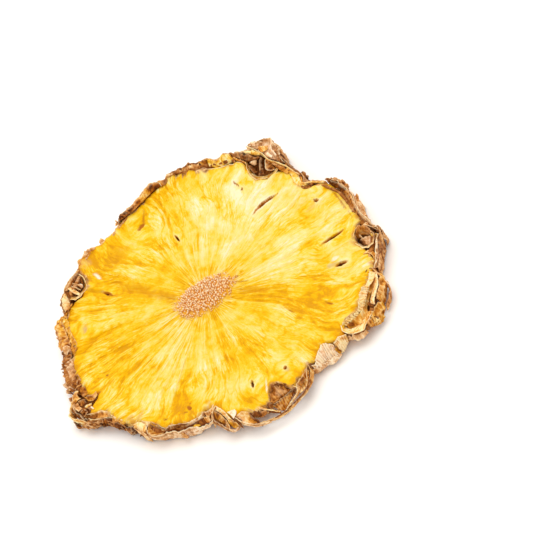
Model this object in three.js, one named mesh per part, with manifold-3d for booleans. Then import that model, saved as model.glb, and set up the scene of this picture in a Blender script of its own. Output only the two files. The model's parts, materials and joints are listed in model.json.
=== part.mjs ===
// A slice of pineapple, cut straight across the fruit with its rind and core left in, and dried.
// It lies with its better face up. Millimetres, +Z up. The origin is the middle of the slice's
// outline, on the surface that the slice lies on.

import * as THREE from "three";
import { ParametricGeometry } from "three/addons/geometries/ParametricGeometry.js";
import { mergeVertices } from "three/addons/utils/BufferGeometryUtils.js";
import Module from "manifold-3d";

// ---- Driving dimensions: lengths in millimetres, angles in degrees round the core ----

const CORE_X = -0.8;
const CORE_Y = 1.5;
const CORE_HALF_LENGTH = 8.6; // along X
const CORE_HALF_WIDTH = 5.4;
const CORE_RISE = 0.6; // the core's fibre ends stand above the flesh
const CORE_SLOPE = [0.7, 1.15]; // parts of the core's half sizes between which the mound falls off

const FLESH_TOP = 4.1; // mean height of the flesh's upper face
const FLESH_THICK = 2.6;
const CREASE_SPREAD = 1.5; // creases deepen with this power of the way out to the rim
const WALL_WAIST = 0.45; // the rind's wall is widest at this part of its height
const WALL_TUCK = 1.3; // how far the wall's foot lies inside its widest line
const FOOT_WIDTH = 2.2; // the narrowest flat rim that the slice rests on
const FOOT_PART = 0.5; // the flat rim is at least this part of the browned skin's width
const CREST_INSET = 0.4; // the lip's crest lies this part of the skin's width inside the outline
const FOOT_LIFT = 0.9; // the rim's foot rises at most this much between its flats
const FOOT_PATCHES = 5;
const CORE_FOOT = 5.0; // radius of the flat round patch under the core, which rests too
const UNDER_SLOPE = 6.0; // width over which the underside leaves the table

// The fruitlets cut through at the rim. Each bulges out to `edge` at the angle `at`, then draws
// in to `fold` at `foldAt`, where the next one begins. `rind` is the width of its browned skin
// seen from above, and `lip` the height of the skin's upper edge.
const FRUITLETS = [
  { at: 5, edge: 48.0, foldAt: 19.5, fold: 42.4, rind: 2.3, lip: 7.5 },
  { at: 27, edge: 45.6, foldAt: 31.5, fold: 45.2, rind: 3.2, lip: 6.6 },
  { at: 42, edge: 52.2, foldAt: 60, fold: 46.7, rind: 8.0, lip: 8.2 },
  { at: 66, edge: 47.2, foldAt: 72, fold: 46.5, rind: 2.6, lip: 7.0 },
  { at: 80, edge: 46.5, foldAt: 108, fold: 41.8, rind: 2.4, lip: 6.8 },
  { at: 123, edge: 44.3, foldAt: 129, fold: 43.8, rind: 1.8, lip: 5.2 },
  { at: 140, edge: 44.9, foldAt: 149.5, fold: 43.0, rind: 5.5, lip: 5.6 },
  { at: 154, edge: 45.8, foldAt: 167, fold: 44.0, rind: 4.0, lip: 4.7 },
  { at: 179, edge: 46.0, foldAt: 185, fold: 44.1, rind: 5.0, lip: 4.6 },
  { at: 192.5, edge: 49.3, foldAt: 203, fold: 46.0, rind: 6.0, lip: 4.9 },
  { at: 208, edge: 45.4, foldAt: 219, fold: 44.0, rind: 2.8, lip: 4.9 },
  { at: 230, edge: 44.8, foldAt: 247.5, fold: 41.2, rind: 2.4, lip: 4.8 },
  { at: 256, edge: 45.4, foldAt: 259.3, fold: 44.6, rind: 3.5, lip: 4.8 },
  { at: 271, edge: 49.0, foldAt: 287, fold: 45.2, rind: 7.0, lip: 4.8 },
  { at: 298, edge: 48.4, foldAt: 303.5, fold: 47.7, rind: 5.0, lip: 5.2 },
  { at: 314, edge: 53.7, foldAt: 319.5, fold: 52.3, rind: 6.5, lip: 6.0 },
  { at: 324, edge: 52.2, foldAt: 335, fold: 49.4, rind: 6.0, lip: 6.4 },
  { at: 343.5, edge: 51.7, foldAt: 352, fold: 48.4, rind: 6.5, lip: 7.2 },
];
const BULGE = 1.2; // 1 leaves a fold most steeply; higher numbers make it more rounded
const LIP_NOTCH = 0.8; // the lip dips by this much at each fold

// Shallow valleys and ridges that run out from the core to the rim.
const CREASES = [
  { at: 62, half: 16, rise: 0.5 },
  { at: 98, half: 14, rise: -0.5 },
  { at: 133, half: 12, rise: -1.0 },
  { at: 160, half: 14, rise: 0.5 },
  { at: 193, half: 10, rise: 0.7 },
  { at: 238, half: 16, rise: -0.5 },
  { at: 276, half: 13, rise: 0.5 },
  { at: 322, half: 15, rise: -0.8 },
  { at: 352, half: 14, rise: 0.5 },
];

// Empty seed cavities at the rim, the gap behind one thin loop of rind, which goes right through,
// and slits that opened as the flesh dried. Each lies `out` from the core's middle; `long` and
// `wide` are its half length and half width, its length lies at the angle `turn` in plan, and
// `deep` is how far it goes in from the upper face.
const CAVITIES = [
  { at: 43, out: 45.0, long: 4.4, wide: 2.7, turn: 118, deep: 2.3 },
  { at: 136.5, out: 42.0, long: 2.8, wide: 2.2, turn: 45, deep: 1.9 },
  { at: 276.5, out: 43.0, long: 3.4, wide: 2.4, turn: 5, deep: 2.4 },
  { at: 262, out: 43.0, long: 1.6, wide: 0.9, turn: -8, deep: 1.6 },
  { at: 268, out: 46.3, long: 2.6, wide: 0.9, turn: -2, deep: 9.0 },
  { at: 309.7, out: 46.4, long: 2.1, wide: 1.0, turn: 35, deep: 2.2 },
  { at: 345.8, out: 46.9, long: 2.5, wide: 2.3, turn: 80, deep: 3.2 },
  { at: 34, out: 32.6, long: 4.0, wide: 0.5, turn: 12, deep: 0.9 },
  { at: 350.3, out: 38.6, long: 3.3, wide: 0.6, turn: -4, deep: 1.1 },
  { at: 335.4, out: 39.6, long: 1.7, wide: 0.9, turn: -12, deep: 1.5 },
];

// Rings of facets in each zone of the section, from the middle of the upper face round the rim
// to the middle of the underside, and facets round the slice.
const RINGS = { flesh: 12, lip: 3, wall: 6, foot: 2, under: 6, heel: 1 };
const ROUND = 128;
const CAVITY_SIDES = 14;
const CAVITY_BANDS = 9;
const FLESH_CROWDING = 0.85; // below 1 the flesh's rings are closer together towards the rim
const WELD_DISTANCE = 1e-4;

// ---- Plan: the outline and the rim ----

const TURN = 360;
const rad = THREE.MathUtils.degToRad;

// How a wave climbs from its lower end to its higher one: half a cosine, level at both ends, or a
// quarter of a sine, which leaves the lower end steeply, as rind does at a fold.
const levelEase = (x) => (1 - Math.cos(Math.PI * x)) / 2;
const bulgeEase = (x) => Math.sin((Math.PI / 2) * x) ** BULGE;

// A wave through [angle, value] pairs in rising order, which closes after a full turn.
function waveThrough(pairs, ease = levelEase) {
  const first = pairs[0];
  const closed = [...pairs, [first[0] + TURN, first[1]]];
  return (degrees) => {
    const angle = THREE.MathUtils.euclideanModulo(degrees - first[0], TURN) + first[0];
    const i = closed.findIndex((pair) => pair[0] > angle) - 1;
    const [a0, v0] = closed[i];
    const [a1, v1] = closed[i + 1];
    const x = (angle - a0) / (a1 - a0);
    return v1 > v0 ? v0 + (v1 - v0) * ease(x) : v1 + (v0 - v1) * ease(1 - x);
  };
}

const outlinePairs = FRUITLETS.flatMap((f) => [[f.at, f.edge], [f.foldAt, f.fold]]);
const outline = waveThrough(outlinePairs, bulgeEase);
const rindWidth = waveThrough(FRUITLETS.map((f) => [f.at, f.rind]));
const lipMean = waveThrough(FRUITLETS.map((f) => [f.at, f.lip]));
const lipNotch = waveThrough(FRUITLETS.flatMap((f) => [[f.at, 0], [f.foldAt, LIP_NOTCH]]));

// A bell from 1 at the crease's line to 0 at its half width, for angles either side of it.
function bell(degrees, at, half) {
  const off = THREE.MathUtils.euclideanModulo(degrees - at + TURN / 2, TURN) - TURN / 2;
  const x = Math.min(1, Math.abs(off) / half);
  return (1 + Math.cos(Math.PI * x)) / 2;
}

// ---- Heights ----

// The flesh's upper face: level at the core, where the fibre ends stand up in an oval mound, and
// waved by the creases, which deepen towards the rim.
function fleshHeight(radius, degrees) {
  const angle = rad(degrees);
  const along = (radius * Math.cos(angle)) / CORE_HALF_LENGTH;
  const across = (radius * Math.sin(angle)) / CORE_HALF_WIDTH;
  const mound = CORE_RISE * (1 - THREE.MathUtils.smoothstep(Math.hypot(along, across), ...CORE_SLOPE));
  const reach = Math.min(1, radius / outline(degrees)) ** CREASE_SPREAD;
  const wave = CREASES.reduce((sum, c) => sum + c.rise * bell(degrees, c.at, c.half), 0);
  return FLESH_TOP + mound + reach * wave;
}

// The rim's foot: flat on the table in several patches, lifted a little between them.
function footHeight(degrees) {
  const wave = Math.cos(rad(FOOT_PATCHES * degrees));
  return FOOT_LIFT * Math.max(0, -wave) ** 2;
}

// ---- Section: the slice's half section at one angle ----

// Each zone returns [radius, height] at a step from 0 to 1 along it.
const ZONES = {
  flesh(step, degrees) {
    const radius = innerEdge(degrees) * step ** FLESH_CROWDING;
    return [radius, fleshHeight(radius, degrees)];
  },
  lip(step, degrees) {
    const low = fleshHeight(innerEdge(degrees), degrees);
    const high = lipTop(degrees);
    const radius = innerEdge(degrees) + step * (crestRadius(degrees) - innerEdge(degrees));
    return [radius, low + (high - low) * THREE.MathUtils.smoothstep(step, 0, 1)];
  },
  wall(step, degrees) {
    const top = lipTop(degrees);
    const foot = footHeight(degrees);
    const waist = foot + WALL_WAIST * (top - foot);
    const swing = Math.PI * (0.5 - step);
    const above = swing > 0;
    const inset = above ? outline(degrees) - crestRadius(degrees) : WALL_TUCK;
    const radius = outline(degrees) - inset * (1 - Math.cos(swing));
    const height = waist + Math.sin(swing) * (above ? top - waist : waist - foot);
    return [radius, height];
  },
  foot(step, degrees) {
    const start = outline(degrees) - WALL_TUCK;
    return [start + step * (footInside(degrees) - start), footHeight(degrees)];
  },
  under(step, degrees) {
    const radius = CORE_FOOT + (footInside(degrees) - CORE_FOOT) * (1 - step);
    const hollow = fleshHeight(radius, degrees) - FLESH_THICK;
    const fromRim = THREE.MathUtils.smoothstep(footInside(degrees) - radius, 0, UNDER_SLOPE);
    const fromCore = THREE.MathUtils.smoothstep(radius, CORE_FOOT, CORE_FOOT + UNDER_SLOPE);
    const rimFoot = footHeight(degrees) * (1 - fromRim);
    return [radius, rimFoot + hollow * fromRim * fromCore];
  },
  heel(step) {
    return [CORE_FOOT * (1 - step), 0];
  },
};

function innerEdge(degrees) {
  return outline(degrees) - rindWidth(degrees);
}

function crestRadius(degrees) {
  return outline(degrees) - CREST_INSET * rindWidth(degrees);
}

function lipTop(degrees) {
  return lipMean(degrees) - lipNotch(degrees);
}

function footInside(degrees) {
  return outline(degrees) - WALL_TUCK - Math.max(FOOT_WIDTH, FOOT_PART * rindWidth(degrees));
}

const RING_COUNT = Object.values(RINGS).reduce((sum, count) => sum + count, 0);

// The point of the half section `ring` facets from the middle of the upper face.
function sectionAt(ring, degrees) {
  let left = ring;
  for (const [zone, count] of Object.entries(RINGS)) {
    if (left <= count) return ZONES[zone](left / count, degrees);
    left -= count;
  }
  return ZONES.heel(1);
}

// ---- Solids ----

// Keeps only positions, joins the seam and the poles, and drops the facets that closed up there.
function weld(geometry) {
  geometry.deleteAttribute("normal");
  geometry.deleteAttribute("uv");
  const welded = mergeVertices(geometry, WELD_DISTANCE);
  const index = welded.index.array;
  const kept = [];
  for (let i = 0; i < index.length; i += 3) {
    const [a, b, c] = index.slice(i, i + 3);
    if (a !== b && b !== c && c !== a) kept.push(a, b, c);
  }
  welded.setIndex(kept);
  return welded;
}

function sliceBody() {
  const surface = (u, v, target) => {
    const degrees = TURN * u;
    const [radius, height] = sectionAt(Math.round((1 - v) * RING_COUNT), degrees % TURN);
    const angle = rad(degrees % TURN);
    target.set(CORE_X + radius * Math.cos(angle), CORE_Y + radius * Math.sin(angle), height);
  };
  return weld(new ParametricGeometry(surface, ROUND, RING_COUNT));
}

// A cavity's cutter: an egg round the cavity's mouth, as deep below the upper face as it is said
// to be and open to the air above.
function cavityCutter({ at, out, long, wide, turn, deep }) {
  const geometry = new THREE.SphereGeometry(1, CAVITY_SIDES, CAVITY_BANDS);
  geometry.rotateX(Math.PI / 2);
  geometry.scale(long, wide, deep);
  geometry.rotateZ(rad(turn));
  const x = CORE_X + out * Math.cos(rad(at));
  const y = CORE_Y + out * Math.sin(rad(at));
  geometry.translate(x, y, Math.max(fleshHeight(out, at), FLESH_TOP));
  return weld(geometry);
}

const wasm = await Module();
wasm.setup();

function toManifold(geometry) {
  const mesh = new wasm.Mesh({
    numProp: 3,
    vertProperties: Float32Array.from(geometry.attributes.position.array),
    triVerts: Uint32Array.from(geometry.index.array),
  });
  return new wasm.Manifold(mesh);
}

function fromManifold(solid) {
  const mesh = solid.getMesh();
  const geometry = new THREE.BufferGeometry();
  geometry.setAttribute("position", new THREE.BufferAttribute(mesh.vertProperties, 3));
  geometry.setIndex(new THREE.BufferAttribute(mesh.triVerts, 1));
  geometry.computeVertexNormals();
  return geometry;
}

const cut = CAVITIES.map(cavityCutter).reduce(
  (solid, cutter) => solid.subtract(toManifold(cutter)),
  toManifold(sliceBody()),
);

const driedFlesh = new THREE.MeshStandardMaterial({
  color: 0xf2c23a,
  roughness: 0.55,
  metalness: 0,
});

const slice = new THREE.Mesh(fromManifold(cut), driedFlesh);
slice.name = "pineapple_slice";

const group = new THREE.Group();
group.add(slice);

export default group;
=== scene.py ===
import functools
import itertools
import json

import bpy
import numpy as np
from mathutils import Matrix, Vector


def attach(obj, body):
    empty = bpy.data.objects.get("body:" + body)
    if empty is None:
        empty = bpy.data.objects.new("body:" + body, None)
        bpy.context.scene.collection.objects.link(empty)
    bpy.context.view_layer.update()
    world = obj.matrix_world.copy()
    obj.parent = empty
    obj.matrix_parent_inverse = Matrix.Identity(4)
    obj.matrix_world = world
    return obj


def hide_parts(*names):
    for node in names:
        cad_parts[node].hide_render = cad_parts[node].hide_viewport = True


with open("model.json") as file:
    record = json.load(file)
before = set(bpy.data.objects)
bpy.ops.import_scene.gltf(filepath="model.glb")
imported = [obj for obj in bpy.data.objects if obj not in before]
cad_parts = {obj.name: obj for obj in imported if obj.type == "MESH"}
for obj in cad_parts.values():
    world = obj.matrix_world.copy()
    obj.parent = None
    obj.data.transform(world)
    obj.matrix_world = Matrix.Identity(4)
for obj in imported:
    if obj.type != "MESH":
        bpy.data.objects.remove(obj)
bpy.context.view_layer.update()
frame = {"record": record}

bl_info = {
    "name": "Dried Pineapple Slice",
    "version": (1, 0, 0),
    "blender": (4, 5, 0),
    "location": "3D View > Sidebar > Dried Fruit",
    "description": "Makes a slice of pineapple dried with its rind and core left in",
    "category": "Add Mesh",
}

# ---- Sizes. The tables are in millimetres and in degrees round the core's middle, meshes in metres.

MM = 0.001
FULL_TURN = 360.0
UP = np.array([0.0, 0.0, 1.0])
SLICE_NODE = "pineapple_slice"

# The core's middle is the point that the frame's underside mount states.
CORE_MIDDLE = np.array(frame["record"]["mounts"][0]["pos_m"]) / MM

FLESH_TOP = 4.1
FLESH_LEAST = 0.35  # the underside stays this far above the table
EDGE_ROLL = 0.35  # how far the flesh's upper face rolls down at its edge, and the edge out
FLESH_RADIUS = 44.0  # the mean, which the creases and the relief grow towards
CELL_RADIUS = 45.0  # where the fruitlets' cells are as long as they are wide
RIM_RADIUS = 46.0  # the circle along which the rim's noise is drawn
CORE_HALF_LENGTH = 8.6
CORE_HALF_WIDTH = 5.4
CORE_RISE = 0.6
CORE_HEEL = 5.0  # radius of the flat patch under the core
HEEL_SLOPE = 6.0
FOOT_LIFT = 0.9
FOOT_PATCHES = 5
BULGE = 1.2

# One row for each fruitlet cut through at the rim: angle and radius of its outermost point, then
# of the crease before the next one, and the height and darkness of the skin's body there.
FRUITLETS = [
    (5, 48, 19.5, 42.4, 6.2, 0.6), (27, 45.6, 31.5, 45.2, 5.4, 0.85), (42, 51.8, 60, 46.7, 5.6, 0.85),
    (66, 47.2, 72, 46.5, 5.8, 0.65), (80, 46.5, 108, 41.8, 5.4, 0.6), (123, 44.3, 129, 43.8, 4.2, 0.3),
    (140, 44.9, 149.5, 43, 4.2, 0.6), (154, 45.8, 167, 44, 3.8, 0.4), (179, 46, 185, 44.1, 3.6, 0.6),
    (192.5, 49.3, 203, 46, 3.6, 0.75), (208, 45.4, 219, 44, 3.8, 0.75),
    (230, 44.8, 247.5, 41.2, 3.4, 0.6), (256, 45.4, 259.3, 44.6, 3.2, 0.5),
    (271, 45, 287, 44.9, 2.4, 0.6), (298, 48.2, 303.5, 47.5, 3, 0.3),
    (314, 52.6, 319.5, 51.8, 3.6, 0.6), (324, 51.8, 335, 49.4, 4.2, 0.6),
    (343.5, 51.2, 352, 48.3, 5, 0.6),
]
RING_INSET = 1.0  # the skin's body lies this far inside its outermost folds
# Where it draws in further, so that light shows behind the outer loop and the fans stand clear:
# angle, half width and depth.
WINDOWS = [(266.5, 8.0, 1.6), (296.0, 12.0, 1.7)]
GUTTER_FLOOR = 2.3  # height of the groove between flesh and skin

# Valleys and ridges that run from the core to the rim: angle, half width, rise, change of colour.
# The deeper gold along the valleys at 133 and 322 degrees is partly painted shade.
CREASES = [
    (38, 28, 0, 0.13), (62, 16, 0.5, 0.07), (98, 14, -0.5, 0.02), (120, 12, 0.2, -0.12),
    (133, 9, -1.2, -0.2), (160, 14, 0.5, 0.02), (178, 14, 0, -0.12), (193, 10, 0.6, 0.04),
    (214, 16, 0, 0.12), (238, 16, -0.4, -0.03), (272, 18, 0.4, -0.12), (300, 14, 0, -0.1),
    (322, 15, -0.7, -0.12), (352, 18, 0.4, 0.1),
]

# Points on and near the rim are given where the camera sees them against the plane at
# VIEW_LEVEL, from the view's own middle; `placed` works out where they are from their heights.
VIEW_ELEVATION = 47.0
VIEW_LEVEL = 4.0
VIEW_MIDDLE = (2.5, -3.5)  # the view's middle, from the core's

def pairs(text):
    """Numbers written in turn, taken two by two."""
    return np.array(text.split(), float).reshape(-1, 2)


# The flesh's edge, x and y from the right-hand side round by the far side.
FLESH_EDGE = pairs("""
    43.9 3.5 43.7 8 43.3 12 42.2 15.4 40.3 17 38.2 17.6 36.6 18.4 35.3 20.4 34.8 22.4 35.3 25 35.1 27.4
    33.8 29.2 31.4 29.3 29.7 29 27.9 30.2 26.4 31.8 25.8 34.2 25.9 37 25.6 39.6 24.6 41.2 22.6 41.8
    20.6 43 18.4 44.3 16.6 45.2 15.4 46.3 14.2 48.2 12.2 49.6 10 50.2 8 50.9 6.4 51.4 5.1 50.9 4.1 49.4
    2.4 49.2 0.6 49 -1.2 48.6 -3 48.1 -5 47.5 -7 46.8 -9.4 46.2 -12 46 -13.6 45.2 -15.2 43.8 -20.5 42.2
    -24 42.6 -26.4 41.8 -28.2 40.2 -29.8 37.6 -29 35 -29.3 32 -30 30.2 -32 28.9 -34.2 28.2 -36.6 27.9
    -38.6 26.3 -39.9 24.5 -40.4 21 -40.7 18 -40.8 15.5 -40.6 13.2 -41.6 11.2 -43 9.8 -43.9 7 -43.9 3
    -43.5 0 -43.5 -3.5 -42.4 -5 -41 -6 -42.6 -7.4 -44.2 -9 -45.2 -10.4 -43.4 -11.4 -41.6 -12.4 -40.5 -14
    -40.1 -16 -38.8 -18.4 -37 -20.8 -34.4 -22.6 -33 -24 -31.8 -25.2 -30.6 -27.4 -29.6 -29 -27.6 -29.2
    -25.2 -30.4 -23.2 -31.5 -20 -31.8 -17.8 -31 -16 -31.4 -14.8 -32.6 -13.8 -35 -12.6 -37.4 -11.2 -38
    -9.6 -38.4 -8.2 -39.4 -7 -40.6 -5.4 -40.9 -3.6 -41 -2.2 -41 -1.4 -39 -0.6 -37.2 0.4 -36 1.8 -36.5
    3.2 -37.8 4.4 -39.8 5.8 -40.8 7.6 -39.2 9.6 -38 11.4 -36.6 13.2 -36.8 14.8 -35.4 16.8 -33.4 18.6 -33.6
    21 -34.4 23.4 -34 24.4 -32 26.6 -30.6 29.6 -29.8 32.2 -27.4 34.4 -25 36.8 -23 38.4 -21 39.6 -19.6
    41 -17.4 41 -14.8 40.6 -13.2 39.8 -11 39.6 -9 40.1 -7 41.2 -5 42.6 -3.6 44.2 -3 44 0
""")

# The angle at which the camera sees the flesh's edge round the core, and its height there.
EDGE_HEIGHTS = pairs("""
    0 5.7 21 5.9 30 5.9 38 4.9 44 5 54 5.5 66 5.6 79 6 89 5.6 103 5.1 112 4.8 125 4.9 131 5.2 136 4.9
    150 4.3 181 4.2 202 5.2 219 4.8 256 5 270 4.5 279 4.5 297 5.1 316 4.9 334 5.2 344 5.5 349 5.8 352 5.7
""")

# Eye cavities that the fibres part round: x and y from the core's middle, and radius.
EYES = [
    (32.6, 30.4, 4.6), (-30.6, 29.2, 3.4), (4.2, -43.4, 4.2), (-6.4, -43.1, 2.2), (44.8, -12.2, 3),
    (29.5, -35.9, 2.2),
]

# Papery sheets of the rim: folds of skin, bracts and the walls of the eyes. Each is ruled from a
# crest line to a foot line, both seen from the view, with heights spread along them. A row is one
# sheet, its fields parted by bars, and goes on over the indented lines below it:
# crest  x and y of its points in turn, and in the next field their heights
# foot   the same, or one number, the crest moved outwards by that much, and then the heights
# tone   0 cream to 1 dark brown, one value or several spread along the length
# warm   0 mauve, 1 orange-brown, 2 golden
# edge   how cream the crest's edge is
# The rest only some rows have, each with its name, and else SHEET_DEFAULTS holds:
# shade  how deep in shadow its colour is at the crest and at the foot
# bow    how far its middle bulges outwards
# rough  height of its crumples
# pleat  height of its fine pleats
# ribs   how many folds it has along its length, and their height
# thick  how thick it is
# Rows with tone 1, edge 0 and shade near 1 are small dark sheets that paint shadow into gaps and pits.
SHEET_FIELDS = ("crest", "high", "foot", "low", "tone", "warm", "edge")
SHEET_DEFAULTS = {"shade": (0, 0), "bow": 0, "rough": 0.16, "pleat": 0.05, "ribs": (1, 0), "thick": 0.34}
SHEET_DEFAULTS["wall"] = False
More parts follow.
